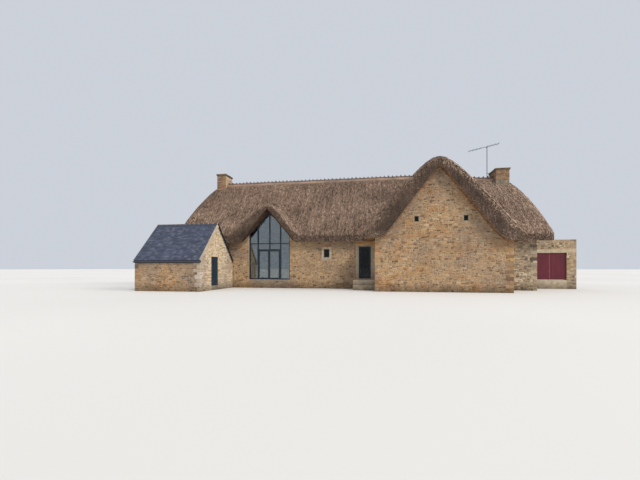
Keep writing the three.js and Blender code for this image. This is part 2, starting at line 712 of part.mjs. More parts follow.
const meetingX = (DOORWAY_X[0] + DOORWAY_X[1]) / 2;
glazedLeaf(
  "screen_door_west",
  [DOORWAY_X[0] + RUNNING, meetingX - RUNNING / 2],
  SCREEN_LEAF_Y,
  SCREEN_LEAF_Z,
  SCREEN_STILE,
  FLOOR_TOP,
  -1,
  darkMetal,
);
glazedLeaf(
  "screen_door_east",
  [meetingX + RUNNING / 2, DOORWAY_X[1] - RUNNING],
  SCREEN_LEAF_Y,
  SCREEN_LEAF_Z,
  SCREEN_STILE,
  FLOOR_TOP,
  1,
  darkMetal,
);

// Entrance: cut stone surround, timber lintel, sill, landing and leaf
{
  const y = [FACADE - SURROUND_PROUD, FACADE + WALL];
  const x = [ENTRANCE_X[0] - ENTRANCE_SIDE, -WING_HALF - SEAT];
  const whole = block(x, y, [0, ENTRANCE_HEAD + SURROUND_HEAD]);
  const doorway = block(ENTRANCE_X, around(y, PAST), [-PAST, ENTRANCE_HEAD]);
  keep("entrance_surround", whole.subtract(doorway), ...paleStone);

  const lintel = block(x, y, [ENTRANCE_HEAD + SURROUND_HEAD + SEAT, SKY]).intersect(roomUnderThatch);
  keep("entrance_lintel", lintel, ...timber);

  const sill = block(around(ENTRANCE_X, -SEAT), [FACADE - SILL_NOSE, FACADE + WALL], [0, ENTRANCE_SILL]);
  const landingY = [FACADE - LANDING_REACH, FACADE - SURROUND_PROUD - SEAT];
  const landing = block(LANDING_X, landingY, [0, LANDING_TOP]);
  const step = block(LANDING_X, [FACADE - STEP_REACH, landingY[0] + 1], [0, STEP_TOP]);
  keep("entrance_landing", sill.add(landing).add(step), ...paleStone);
}

glazedLeaf(
  "entrance_door",
  [ENTRANCE_X[0] + RUNNING, ENTRANCE_X[1] - RUNNING],
  ENTRANCE_LEAF_Y,
  ENTRANCE_LEAF_Z,
  ENTRANCE_STILE,
  ENTRANCE_SILL,
  -1,
  doorPaint,
);

// Outbuilding
{
  const slopeTop = (y, drop) => SHED_RIDGE_Z - drop - SHED_FALL * Math.abs(y - SHED_RIDGE_Y);
  const under = (x) => {
    const drop = SHED_ROOF_DEEP + SEAT;
    const front = SHED_Y[0] - WELL_PAST;
    const rear = SHED_Y[1] + WELL_PAST;
    const outline = [
      [front, -WELL_PAST],
      [rear, -WELL_PAST],
      [rear, slopeTop(rear, drop)],
      [SHED_RIDGE_Y, slopeTop(SHED_RIDGE_Y, drop)],
      [front, slopeTop(front, drop)],
    ];
    return prism("x", outline, x[0] - WELL_PAST, x[1] + WELL_PAST);
  };
  const belowRoof = under(SHED_X);
  const up = (x, y, from = 0) => block(x, y, [from, SKY]).intersect(belowRoof);
  const innerX = [SHED_X[0] + SHED_WALL, SHED_X[1] - SHED_WALL];

  const west = up([SHED_X[0], innerX[0]], SHED_Y);
  const front = up([SHED_X[0], innerX[1] - SEAT], [SHED_Y[0], SHED_Y[0] + SHED_WALL]);
  const rear = up([SHED_X[0], innerX[1] - SEAT], [SHED_Y[1] - SHED_WALL, SHED_Y[1]]);
  keep("outbuilding_walls", west.add(front).add(rear), ...stone);

  const gableX = [innerX[1], SHED_X[1]];
  keep("outbuilding_gable_south", up(gableX, [SHED_Y[0], SHED_DOOR_Y[0] - SEAT]), ...stone);
  keep("outbuilding_gable_north", up(gableX, [SHED_DOOR_Y[1] + SEAT, SHED_Y[1]]), ...stone);
  keep("outbuilding_gable_head", up(gableX, SHED_DOOR_Y, SHED_DOOR_HEAD), ...stone);

  const slope = (side) => {
    const eave = side < 0 ? SHED_Y[0] - SHED_EAVE_OVER : SHED_Y[1];
    const ridge = SHED_RIDGE_Y + side * (SEAT / 2);
    const outline = [
      [ridge, slopeTop(ridge, SHED_ROOF_DEEP)],
      [ridge, slopeTop(ridge, 0)],
      [eave, slopeTop(eave, 0)],
      [eave, slopeTop(eave, SHED_ROOF_DEEP)],
    ];
    if (side > 0) outline.reverse();
    return prism("x", outline, SHED_X[0] - SHED_VERGE_OVER, SHED_X[1] + SHED_VERGE_OVER);
  };
  keep("outbuilding_front_slates", slope(-1), ...slate);
  keep("outbuilding_rear_slates", slope(1), ...slate);

  const cover = (lift) =>
    [SHED_RIDGE_Y - SHED_RIDGE_HALF, SHED_RIDGE_Y, SHED_RIDGE_Y + SHED_RIDGE_HALF].map((y) => [
      y,
      slopeTop(y, -lift),
    ]);
  const ridgeOutline = [...cover(SEAT), ...cover(SHED_RIDGE_DEEP).reverse()];
  keep(
    "outbuilding_ridge",
    prism("x", ridgeOutline, SHED_X[0] - SHED_VERGE_OVER, SHED_X[1] + SHED_VERGE_OVER),
    ...slate,
  );

  const floor = block(
    [innerX[0] + SEAT, innerX[1] - SEAT],
    [SHED_Y[0] + SHED_WALL + SEAT, SHED_Y[1] - SHED_WALL - SEAT],
    [0, SHED_FLOOR],
  );
  const tongue = block([innerX[1] - SEAT - 1, SHED_X[1]], [SHED_DOOR_Y[0], SHED_DOOR_Y[1]], [0, SHED_FLOOR]);
  keep("outbuilding_floor", floor.add(tongue), ...paleStone);

  const doorX = [SHED_X[1] - SHED_DOOR_SET_BACK - LEAF_DEEP, SHED_X[1] - SHED_DOOR_SET_BACK];
  const doorY = around(SHED_DOOR_Y, -RUNNING);
  const doorZ = [SHED_FLOOR + 15, SHED_DOOR_HEAD - LEAF_HEAD_GAP];
  const door = block(doorX, doorY, doorZ);
  const pin = pivotPin(doorX[0] + PIVOT_INSET, doorY[0] + PIVOT_INSET, SHED_FLOOR, doorZ[0]);
  keep("outbuilding_door", door.add(pin), ...doorPaint);
}

// Gateway at the east end
{
  const y = GATE_WALL_Y;
  keep("gateway_pier_west", block([EAST + SEAT, GATE_X[0]], y, [0, GATE_HEAD]), ...stone);
  keep("gateway_pier_east", block([GATE_X[1], GATE_WALL_EAST], y, [0, GATE_HEAD]), ...stone);
  keep(
    "gateway_lintel",
    block([EAST + SEAT, GATE_WALL_EAST], y, [GATE_HEAD + SEAT, GATE_LINTEL_TOP]),
    ...paleStone,
  );
  keep(
    "gateway_wall_head",
    block([EAST + SEAT, GATE_WALL_EAST], y, [GATE_LINTEL_TOP + SEAT, GATE_TOP]),
    ...stone,
  );
  keep("gateway_threshold", block([GATE_X[0] + SEAT, GATE_X[1] - SEAT], y, [0, GATE_SILL]), ...paleStone);

  const middle = (GATE_X[0] + GATE_X[1]) / 2;
  const pinX = around(GATE_X, -RUNNING - PIVOT_INSET);
  const pins = pinX.map((x) => pivotPin(x, GATE_LEAF_Y[1] - PIVOT_INSET, GATE_SILL, GATE_LEAF_Z[0]));
  const westLeaf = block([GATE_X[0] + RUNNING, middle - RUNNING / 2], GATE_LEAF_Y, GATE_LEAF_Z);
  const eastLeaf = block([middle + RUNNING / 2, GATE_X[1] - RUNNING], GATE_LEAF_Y, GATE_LEAF_Z);
  keep("gate_leaf_west", westLeaf.add(pins[0]), ...gatePaint);
  keep("gate_leaf_east", eastLeaf.add(pins[1]), ...gatePaint);
}

// Aerial beside the east stack, in one body
{
  const foot = thatchTop(MAST_X, RIDGE_Y) + CAP_DEEP + SEAT + MAST_FOOT_GAP;
  const centre = [MAST_X - BOOM_WEST_OF_MAST, RIDGE_Y, MAST_TOP - BOOM_UNDER_TOP];
  const tilt = THREE.MathUtils.degToRad(BOOM_TILT_DEG);
  const tilted = (size, along) => {
    const shape = new THREE.BoxGeometry(...size);
    shape.rotateY(-tilt);
    shape.translate(centre[0] + Math.cos(tilt) * along, centre[1], centre[2] + Math.sin(tilt) * along);
    return solidOf(shape);
  };
  const mastX = around([MAST_X, MAST_X], MAST_HALF);
  const mastY = around([RIDGE_Y, RIDGE_Y], MAST_HALF);
  let aerial = block(mastX, mastY, [foot, MAST_TOP]);
  for (const z of BRACKET_ZS) {
    const bracketY = around([RIDGE_Y, RIDGE_Y], BRACKET_DEEP / 2);
    aerial = aerial.add(block([MAST_X, STACK_EAST.x[0] - SEAT], bracketY, [z, z + BRACKET_DEEP]));
  }
  aerial = aerial.add(tilted([2 * BOOM_HALF, BOOM_DEEP, BOOM_DEEP], 0));
  for (const along of ROD_PLACES) {
    aerial = aerial.add(tilted([ROD_DEEP, along < 0 ? ROD_SHORT : ROD_LONG, ROD_DEEP], along));
  }
  keep("aerial", aerial, ...bareMetal);
}

export default house;
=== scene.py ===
"""Looks of a thatched stone cottage, built around its fixed frame. Lengths in metres."""

import math
from collections import namedtuple

import bpy
import numpy as np
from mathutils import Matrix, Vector
from mathutils.bvhtree import BVHTree


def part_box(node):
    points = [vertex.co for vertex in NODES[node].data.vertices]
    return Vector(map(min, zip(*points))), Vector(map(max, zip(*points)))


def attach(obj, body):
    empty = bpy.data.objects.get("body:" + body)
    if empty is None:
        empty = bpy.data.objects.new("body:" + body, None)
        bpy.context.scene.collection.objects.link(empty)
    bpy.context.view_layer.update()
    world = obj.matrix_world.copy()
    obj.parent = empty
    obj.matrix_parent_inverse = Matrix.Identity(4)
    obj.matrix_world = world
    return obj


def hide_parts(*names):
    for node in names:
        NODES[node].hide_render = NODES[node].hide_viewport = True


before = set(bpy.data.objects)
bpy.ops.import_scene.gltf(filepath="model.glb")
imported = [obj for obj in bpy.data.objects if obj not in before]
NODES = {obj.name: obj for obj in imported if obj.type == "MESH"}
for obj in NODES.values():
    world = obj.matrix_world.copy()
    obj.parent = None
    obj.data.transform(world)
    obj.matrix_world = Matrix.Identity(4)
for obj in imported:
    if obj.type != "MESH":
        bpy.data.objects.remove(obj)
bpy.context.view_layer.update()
UP = Vector((0, 0, 1))

# Outer faces of the walls in plan, with the small gap between pieces that touch. JAMBS face inward.
Plan = namedtuple("Plan", "west east south north")
SEAT = 0.0003
HOUSE = Plan(-18.2, 6.2, 2.25, 9.95)
WING = Plan(-3.95, 3.95, -0.25, HOUSE.south)
SCREEN = Plan(-13.165, -10.055, HOUSE.south, HOUSE.south)
SHED = Plan(-18.88, -14.45, -2.4, HOUSE.south)
GATEWAY = Plan(HOUSE.east + SEAT, 9.65, 4.55, 4.95)
JAMBS = GATEWAY._replace(west=9.05, east=6.95)

# Heights at which the courses stop. They stop sooner where rays find the wall lower.
GABLE_TOP, FRONT_TOP, WING_SIDE_TOP, BACK_TOP = 8, 6, 5, 3.6
SHED_GABLE_TOP, SHED_SIDE_TOP = 4.4, 2.2
GATE_WALL_TOP, GATE_PIER_TOP = 3.42, 2.51
FLOOR = 0.6


# Shader graphs


class Graph:
    """A material's node tree, with short calls for the nodes used here."""

    def __init__(self, name):
        self.material = bpy.data.materials.new(name)
        self.material.use_nodes = True
        self.tree = self.material.node_tree
        self.tree.nodes.clear()
        self.shader = self.add("BsdfPrincipled")
        self.add("OutputMaterial", self.shader.outputs[0])
        self.place = self.add("TexCoord").outputs["Object"]

    def put(self, socket, value):
        if isinstance(value, bpy.types.NodeSocket):
            self.tree.links.new(value, socket)
        else:
            socket.default_value = value

    def add(self, kind, *values, **named):
        """A new node with its inputs set or linked, in order or by name."""
        node = self.tree.nodes.new(f"ShaderNode{kind}")
        for i, value in enumerate(values):
            self.put(node.inputs[i], value)
        for name, value in named.items():
            self.put(node.inputs[name.replace("_", " ")], value)
        return node

    def noise(self, scale, detail=4.0, stretch=(1, 1, 1), rough=0.55):
        place = self.add("Mapping", Vector=self.place, Scale=stretch).outputs[0]
        return self.add("TexNoise", Vector=place, Scale=scale, Detail=detail, Roughness=rough).outputs["Fac"]

    def attribute(self, name):
        node = self.add("Attribute")
        node.attribute_name = name
        return node.outputs["Fac"]

    def place_along(self, axis):
        """Place of the shaded point along x, y or z (0, 1 or 2); z is its height over the ground."""
        return self.add("SeparateXYZ", self.place).outputs[axis]

    def facing_up(self):
        """Upright part of the surface's direction: 1 on a level top, -1 on a level underside."""
        return self.add("SeparateXYZ", self.add("NewGeometry").outputs["Normal"]).outputs[2]

    def maths(self, kind, a, b=0.5):
        node = self.add("Math", a, b)
        node.operation = kind
        return node.outputs[0]

    def blend(self, a, share_a, b, share_b):
        """Sum of two values, each with its share."""
        return self.maths("ADD", self.maths("MULTIPLY", a, share_a), self.maths("MULTIPLY", b, share_b))

    def times(self, factor, colour, tones):
        """A colour multiplied by another, as far as the factor says."""
        return self.mix(factor, colour, tones, "MULTIPLY")

    def spread(self, value, low, high):
        """A value that runs from 0 at low to 1 at high and stays there outside."""
        return self.add("MapRange", Value=value, From_Min=low, From_Max=high).outputs[0]

    def ramp(self, value, stops):
        node = self.add("ValToRGB", value)
        elements = node.color_ramp.elements
        while len(elements) < len(stops):
            elements.new(0.5)
        for element, (at, colour) in zip(elements, stops):
            element.position = at
            element.color = srgb(*colour)
        return node.outputs[0]

    def mix(self, factor, a, b, kind="MIX"):
        node = self.add("Mix", factor)
        node.data_type = "RGBA"
        node.blend_type = kind
        self.put(node.inputs[6], a)
        self.put(node.inputs[7], b)
        return node.outputs[2]

    def bump(self, height, strength, distance):
        node = self.add("Bump", Strength=strength, Distance=distance, Height=height)
        self.put(self.shader.inputs["Normal"], node.outputs[0])

    def set(self, **values):
        """Sets or links the shader's own inputs and returns the finished material."""
        for name, value in values.items():
            self.put(self.shader.inputs[name.replace("_", " ").title()], value)
        return self.material


def srgb(red, green, blue):
    """An 8-bit display colour as linear light with full opacity."""

    def linear(value):
        value /= 255
        return value / 12.92 if value <= 0.04045 else ((value + 0.055) / 1.055) ** 2.4

    return (linear(red), linear(green), linear(blue), 1.0)


# Materials

REED = [
    (0.1, (64, 50, 41)), (0.36, (124, 101, 85)), (0.6, (172, 144, 123)), (0.9, (236, 206, 180)),
]
FRESH_REED = [(0.32, (66, 50, 40)), (0.5, (124, 90, 60)), (0.72, (186, 142, 98))]
HOOD_X = -11.5
HOOD_HALF = (2.3, 2.9)


def thatch_material(name, lightness):
    """Weathered reed: every reed has its own tint, over broad patches.

    Undersides are fresher and warmer, but a painted shade makes them darker under the hood over the glazed
    screen.
    """
    g = Graph(name)
    patches = g.spread(g.noise(0.5, 7, rough=0.72), 0.28, 0.72)
    speckle = g.noise(9, 5, (1, 1, 0.5), 0.75)
    value = g.blend(g.attribute("tint"), 0.68, patches, 0.32)
    colour = g.ramp(value, [(at, [lightness * part for part in tone]) for at, tone in REED])
    mottled = g.times(0.5, colour, g.ramp(speckle, [(0.32, (128, 118, 112)), (0.66, (252, 250, 247))]))
    g.bump(g.noise(38, 3, (1, 1, 0.25)), 0.5, 0.02)
    under = g.ramp(g.noise(5, 6, (1, 0.5, 1), 0.75), FRESH_REED)
    # painted shade: the fresh undersides turn darker and greyer under the hood over the glazed screen
    from_middle = g.maths("ABSOLUTE", g.maths("SUBTRACT", g.place_along(0), HOOD_X))
    shaded_under_hood = g.times(g.spread(from_middle, HOOD_HALF[1], HOOD_HALF[0]), under, srgb(132, 128, 126))
    sheltered = g.spread(g.facing_up(), -0.1, -0.35)
    return g.set(base_color=g.mix(sheltered, mottled, shaded_under_hood), roughness=0.95)


def weathered(g, colour, warmth=1.0):
    """Warmer and greyer areas over a wall, and a damp foot in its lowest half metre."""
    warm_areas = g.maths("MULTIPLY", g.spread(g.noise(0.8, 5, (1, 1, 1.2)), 0.5, 0.72), warmth)
    warmer = g.times(warm_areas, colour, srgb(255, 222, 172))
    greyness = g.spread(g.noise(0.33, 3), 0.42, 0.66)
    pale = g.mix(g.maths("MULTIPLY", greyness, 0.2), warmer, srgb(152, 144, 134))
    greyer = g.times(greyness, pale, srgb(226, 224, 230))
    foot = g.spread(g.blend(g.place_along(2), 1.0, g.noise(2.4, 4), -0.5), 0.3, -0.25)
    return g.times(foot, greyer, g.ramp(g.noise(7, 4), [(0.3, (150, 146, 140)), (0.7, (196, 190, 182))]))


def rubble_material(name, stops, warmth=1.0):
    """Split stones, each with its own tint, with a grain and a rough face."""
    g = Graph(name)
    patches = g.noise(0.7, 3)
    value = g.blend(g.attribute("tint"), 0.8, patches, 0.2)
    colour = g.ramp(value, stops)
    grain = g.ramp(g.noise(24, 6, rough=0.7), [(0.3, (170, 160, 150)), (0.65, (255, 255, 255))])
    g.bump(g.noise(30, 6), 0.55, 0.015)
    return g.set(base_color=weathered(g, g.times(0.75, colour, grain), warmth), roughness=0.93)


def stone_material(name, dark, light, scale=3.0):
    """Mortar, cut stone, clay, cement or dull zinc: two tones in patches with a fine grain."""
    g = Graph(name)
    colour = g.ramp(g.noise(scale, 8, rough=0.65), [(0.32, dark), (0.68, light)])
    grain = g.ramp(g.noise(60, 4), [(0.3, (195, 190, 185)), (0.7, (255, 255, 255))])
    g.bump(g.noise(45, 6), 0.4, 0.008)
    return g.set(base_color=weathered(g, g.times(0.7, colour, grain), 0.4), roughness=0.92)


def slate_material():
    """Blue slates, each with its own tint, under a faint bloom."""
    g = Graph("slate")
    tones = [(0.0, (50, 56, 71)), (0.5, (65, 72, 91)), (0.85, (79, 85, 104)), (1.0, (98, 99, 108))]
    colour = g.ramp(g.attribute("tint"), tones)
    bloom = g.ramp(g.noise(5, 5), [(0.35, (222, 225, 232)), (0.7, (255, 255, 255))])
    g.bump(g.noise(18, 5, (1, 3, 1)), 0.3, 0.006)
    return g.set(base_color=g.times(0.8, colour, bloom), roughness=0.55)


def paint_material(name, dark, light, roughness, grain=(1, 1, 0.08)):
    """Paint on boards or bars, a little weathered along the grain."""
    g = Graph(name)
    colour = g.ramp(g.noise(14, 5, grain), [(0.3, dark), (0.7, light)])
    g.bump(g.noise(40, 4, grain), 0.15, 0.003)
    return g.set(base_color=colour, roughness=g.blend(g.noise(6), 0.2, roughness - 0.1, 1.0))


def timber_material():
    """Bare timber with its grain along x."""
    g = Graph("lintel_timber")
    tones = [(0.3, (150, 106, 68)), (0.55, (200, 154, 106)), (0.75, (222, 182, 134))]
    colour = g.ramp(g.noise(9, 7, (0.15, 1, 1)), tones)
    g.bump(g.noise(30, 5, (0.1, 1, 1)), 0.5, 0.008)
    return g.set(base_color=colour, roughness=0.8)


def metal_material():
    g = Graph("aerial_metal")
    colour = g.ramp(g.noise(20, 4), [(0.3, (52, 55, 60)), (0.7, (92, 95, 100))])
    return g.set(base_color=colour, metallic=0.7, roughness=g.blend(g.noise(9), 0.2, 0.4, 1.0))


def glass_material(name, index, dark, light):
    """A pane with a faint blue-green body and slightly uneven polish."""
    g = Graph(name)
    colour = g.ramp(g.noise(2.0, 2), [(0.3, dark), (0.7, light)])
    g.shader.inputs["IOR"].default_value = index
    polish = g.maths("MULTIPLY", g.noise(1.5), 0.03)
    return g.set(base_color=colour, roughness=polish, transmission_weight=1.0)


HONEY = [
    (0.06, (96, 80, 64)), (0.2, (146, 114, 80)), (0.4, (190, 150, 102)), (0.52, (158, 140, 118)),
    (0.66, (208, 172, 124)), (0.8, (170, 134, 108)), (0.95, (228, 206, 170)),
]
GREY = [
    (0.06, (78, 70, 62)), (0.22, (136, 120, 100)), (0.42, (188, 168, 140)), (0.55, (148, 138, 124)),
    (0.75, (208, 188, 158)), (0.95, (234, 222, 200)),
]
# Pale cream stone for the outbuilding's east gable and its corner quoins: painted light on that side
CREAM_SUNLIT = [
    (0.05, (150, 132, 110)), (0.25, (204, 182, 150)), (0.5, (230, 214, 186)), (0.8, (240, 228, 206)),
    (1.0, (214, 194, 174)),
]
# A paler copy of STACK, painted light for the sides of the west stack
STACK_SUNLIT = [
    (0.05, (158, 134, 110)), (0.35, (214, 184, 148)), (0.6, (234, 212, 178)), (0.85, (216, 192, 164)),
    (1.0, (244, 230, 204)),
]
LICHEN = [(0.05, (54, 52, 44)), (0.4, (98, 88, 68)), (0.7, (134, 112, 82)), (1.0, (112, 110, 96))]
STACK = [
    (0.05, (104, 84, 66)), (0.35, (170, 126, 84)), (0.6, (196, 152, 106)), (0.85, (160, 134, 110)),
    (1.0, (214, 184, 146)),
]

THATCH = thatch_material("reed", 0.96)
THATCH_CUT = thatch_material("reed_cut_face", 0.8256)
RUBBLE = rubble_material("rubble", HONEY)
RUBBLE_FRONT = rubble_material("rubble_front", HONEY, 0.3)
RUBBLE_GREY = rubble_material("rubble_grey", GREY, 0.3)
RUBBLE_SUNLIT = rubble_material("rubble_sunlit", CREAM_SUNLIT, 0.2)
RUBBLE_STACK = rubble_material("rubble_stack", STACK)
RUBBLE_STACK_SUNLIT = rubble_material("rubble_stack_sunlit", STACK_SUNLIT)
RUBBLE_CAP = rubble_material("rubble_cap", LICHEN)
MORTAR = stone_material("mortar", (172, 148, 116), (212, 190, 156))
DRESSED = stone_material("dressed_stone", (176, 160, 134), (216, 202, 178), 5.0)
SURROUND = stone_material("surround_stone", (150, 128, 98), (204, 180, 144), 6.0)
CEMENT = stone_material("cement", (116, 108, 92), (160, 148, 126), 4.0)
CLAY = stone_material("ridge_clay", (70, 56, 50), (120, 94, 80), 2.2)
BEDDING = stone_material("ridge_bedding", (120, 98, 82), (172, 144, 122), 1.5)
ZINC = stone_material("zinc", (58, 62, 70), (84, 88, 96), 6.0)
PAVING = stone_material("floor_stone", (150, 142, 128), (190, 182, 166), 2.0)
SLATE = slate_material()
SCREEN_PAINT = paint_material("screen_paint", (16, 27, 40), (26, 40, 56), 0.4)
SASH_PAINT = paint_material("sash_paint", (34, 30, 28), (52, 46, 42), 0.5)
DOOR_PAINT = paint_material("door_paint", (8, 28, 42), (14, 42, 58), 0.5)
GATE_PAINT = paint_material("gate_paint", (78, 4, 25), (107, 11, 38), 0.55)
IRON = paint_material("iron", (22, 22, 24), (46, 44, 44), 0.6, (1, 1, 1))
TIMBER = timber_material()
METAL = metal_material()
GLASS = glass_material("pane_glass", 1.3, (104, 122, 124), (138, 154, 154))
COATED_GLASS = glass_material("coated_glass", 2.3, (176, 214, 220), (204, 232, 234))


# Meshes from plain arrays


def make_piece(name, points, faces, material, tint, body="house"):
    """One mesh object that rides on a body. "tint" has one value for every point."""
    mesh = bpy.data.meshes.new(name)
    mesh.from_pydata(np.asarray(points, float).tolist(), [], np.asarray(faces).tolist())
    mesh.materials.append(material)
    mesh.attributes.new("tint", "FLOAT", "POINT").data.foreach_set("value", np.asarray(tint, np.float32))
    mesh.update()
    piece = bpy.data.objects.new(name, mesh)
    bpy.context.scene.collection.objects.link(piece)
    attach(piece, body)
    return piece


def repeated(faces, points_each, count):
    """The same faces for each of several parts of one kind, whose points follow one another."""
    shift = points_each * np.arange(count)[:, None, None]
    return (np.array(faces)[None] + shift).reshape(-1, len(faces[0]))


BOX_FACES = [[0, 3, 2, 1], [4, 5, 6, 7], [0, 1, 5, 4], [1, 2, 6, 5], [2, 3, 7, 6], [3, 0, 4, 7]]


def box_points(low, high):
    (a, b, c), (d, e, f) = low, high
    return [[a, b, c], [d, b, c], [d, e, c], [a, e, c], [a, b, f], [d, b, f], [d, e, f], [a, e, f]]


def boxes_piece(name, boxes, material, edge=0.004, body="house"):
    """Several boxes, given as (low, high), in one mesh with softened edges and a tint each."""
    points = np.array([box_points(low, high) for low, high in boxes], float)
    faces = repeated(BOX_FACES, 8, len(boxes))
    tint = np.repeat(np.random.default_rng(len(boxes)).random(len(boxes)), 8)
    piece = make_piece(name, points.reshape(-1, 3), faces, material, tint, body)
    if edge:
        bevel = piece.modifiers.new("edge", "BEVEL")
        bevel.width = edge
        bevel.segments = 2
        bevel.limit_method = "ANGLE"
    return piece


def dress(node, material):
    """Gives a frame piece its material as it is."""
    thing = NODES[node]
    thing.data.materials.clear()
    thing.data.materials.append(material)


# What stands where on the frame, found by rays


def frame_surface():
    """One search tree for all frame pieces, and the name that owns each of its triangles."""
    points, faces, owners = [], [], []
    for name, thing in NODES.items():
        start = len(points)
        points.extend(v.co.copy() for v in thing.data.vertices)
        for polygon in thing.data.polygons:
            faces.append([start + v for v in polygon.vertices])
            owners.append(name)
    return BVHTree.FromPolygons(points, faces), owners


SURFACE, OWNERS = frame_surface()
REACH, PAST, FACE_NEAR = 0.3, 0.02, 0.003


def on_face(point, normal, allowed):
    """True if the outer face of an allowed piece is seen at this point from outside."""
    hit, facing, index, _ = SURFACE.ray_cast(point + normal * REACH, -normal, REACH + PAST)
    if hit is None or OWNERS[index] not in allowed:
        return False
    return abs((hit - point).dot(normal)) < FACE_NEAR and facing.dot(normal) > 0.9


# Rubble walling

PROBE_STEP, END_GAP, SHORTEST_SPAN = 0.05, 0.003, 0.06


def spans_at(origin, along, normal, length, height, allowed):
    """The stretches of a course line that lie on the wall, with their ends found closely."""

    def seen(u):
        return on_face(origin + along * u + UP * height, normal, allowed)

    def edge(inside, outside):
        for _ in range(4):
            middle = (inside + outside) / 2
            inside, outside = (middle, outside) if seen(middle) else (inside, middle)
        return inside

    count = max(2, int(length / PROBE_STEP))
    places = [END_GAP + (length - 2 * END_GAP) * i / count for i in range(count + 1)]
    flags = [seen(u) for u in places]
    spans, start = [], None
    for i, flag in enumerate(flags):
        if flag and start is None:
            start = 0.0 if i == 0 else edge(places[i], places[i - 1])
        if start is not None and (not flag or i == count):
            end = length if flag else edge(places[i - 1], places[i])
            if end - start > SHORTEST_SPAN:
                spans.append((start, end))
            start = None
    return spans


def course_cuts(rng, span, shortest, longest):
    """Where the upright joints fall in one span, as shares of its length."""
    length = span[1] - span[0]
    cuts, at = [0.0], 0.0
    while length - at > longest:
        at += rng.uniform(shortest, longest)
        cuts.append(at)
    rest = length - cuts[-1]
    if rest > longest * 0.8 and rest > 2 * shortest:
        cuts.append(cuts[-1] + rest * rng.uniform(0.4, 0.6))
    elif rest < shortest and len(cuts) > 1:
        cuts.pop()
    cuts.append(length)
    return [c / length for c in cuts]


TALL_STONE, SHARE_SPLIT = 0.1, 0.4


def split_some(rng, quads):
    """Cuts some of the taller stones into two thin ones, one on the other."""
    height = quads[:, 3, 1] - quads[:, 0, 1]
    chosen = (height > TALL_STONE) & (rng.random(len(quads)) < SHARE_SPLIT)
    kept, tall = quads[~chosen], quads[chosen]
    share = rng.uniform(0.35, 0.65, (len(tall), 1))
    left = tall[:, 0] + (tall[:, 3] - tall[:, 0]) * share
    right = tall[:, 1] + (tall[:, 2] - tall[:, 1]) * share
    lower = np.stack([tall[:, 0], tall[:, 1], right, left], 1)
    upper = np.stack([left, right, tall[:, 2], tall[:, 3]], 1)
    return np.concatenate([kept, lower, upper])


COURSE_EDGE = 0.012


def wall_quads(rng, origin, along, normal, length, heights, allowed, course, stone):
    """Corners of a wall's stones in its plane. Rays probe each course near its foot and its head."""

    def at(span, share, z):
        return span[0] + share * (span[1] - span[0]), z

    quads = []
    low = heights[0]
    while low < heights[1]:
        high = min(low + rng.uniform(*course), heights[1])
        if heights[1] - high < course[0] * 0.6:
            high = heights[1]
        under = spans_at(origin, along, normal, length, low + COURSE_EDGE, allowed)
        over = spans_at(origin, along, normal, length, high - COURSE_EDGE, allowed)
        if len(under) != len(over):
            shared = [(max(a[0], b[0]), min(a[1], b[1])) for a in under for b in over]
            under = over = [span for span in shared if span[1] - span[0] > SHORTEST_SPAN]
        for foot, head in zip(under, over):
            shares = course_cuts(rng, foot, *stone)
            for a, b in zip(shares, shares[1:]):
                quads.append([at(foot, a, low), at(foot, b, low), at(head, b, high), at(head, a, high)])
        low = high
    return split_some(rng, np.array(quads, float).reshape(-1, 4, 2))


def wavy(quads):
    """Lets the courses and upright joints wander a little, the same way for stones that meet."""
    u, v = quads[..., 0], quads[..., 1]
    rise = 0.011 * np.sin(1.9 * u + 5.3 * v) + 0.007 * np.sin(6.1 * u - 3.7 * v)
    rise += 0.004 * np.sin(17 * u + 11 * v)
    sway = 0.008 * np.sin(2.3 * v - 4.1 * u) + 0.006 * np.sin(13 * v + 7 * u)
    return np.stack([u + sway, v + rise], -1)


JOINT, CORNER_CUT, CHAMFER = 0.0085, 0.03, 0.009
UNEVEN, ROUGH, DOME, SUNK = 0.005, 0.003, 0.006, 0.002
POINTS_A_STONE = 17


def stones_from_quads(rng, quads, proud):
    """Eight-sided stones with a raised, slightly domed face: places in the wall's plane and out of it."""
    count = len(quads)
    quads = wavy(quads) + rng.uniform(-UNEVEN, UNEVEN, quads.shape)
    centre = quads.mean(1, keepdims=True)
    size = np.maximum(np.abs(quads - centre).mean(1, keepdims=True), 0.02)
    quads = centre + (quads - centre) * (1 - JOINT / size)

    def corner_cut(side):
        wanted = CORNER_CUT * rng.uniform(0.4, 1.4, (count, 4, 1))
        return side * np.minimum(wanted / np.linalg.norm(side, axis=2, keepdims=True), 0.4)

    after = quads + corner_cut(np.roll(quads, -1, 1) - quads)
    before = quads + corner_cut(np.roll(quads, 1, 1) - quads)
    ring = np.stack([before, after], 2).reshape(count, 8, 2)
    inner = centre + (ring - centre) * (1 - CHAMFER / size)
    inner += rng.uniform(-ROUGH, ROUGH, ring.shape)
    depth = rng.uniform(*proud, (count, 1, 1))
    outer_points = np.concatenate([ring, np.full((count, 8, 1), -SUNK)], 2)
    inner_points = np.concatenate([inner, depth + rng.uniform(-ROUGH, ROUGH, (count, 8, 1))], 2)
    top = np.concatenate([centre, depth + rng.uniform(0.0, DOME, (count, 1, 1))], 2)
    return np.concatenate([outer_points, inner_points, top], 1)


def stone_faces(count):
    """Triangles of stones made of an outer ring, an inner ring and a middle point."""
    side = [[i, (i + 1) % 8, 8 + (i + 1) % 8] for i in range(8)]
    side += [[i, 8 + (i + 1) % 8, 8 + i] for i in range(8)]
    side += [[8 + i, 8 + (i + 1) % 8, 16] for i in range(8)]
    return repeated(side, POINTS_A_STONE, count)


SOUTH, NORTH, WEST, EAST = (0, -1, 0), (0, 1, 0), (-1, 0, 0), (1, 0, 0)


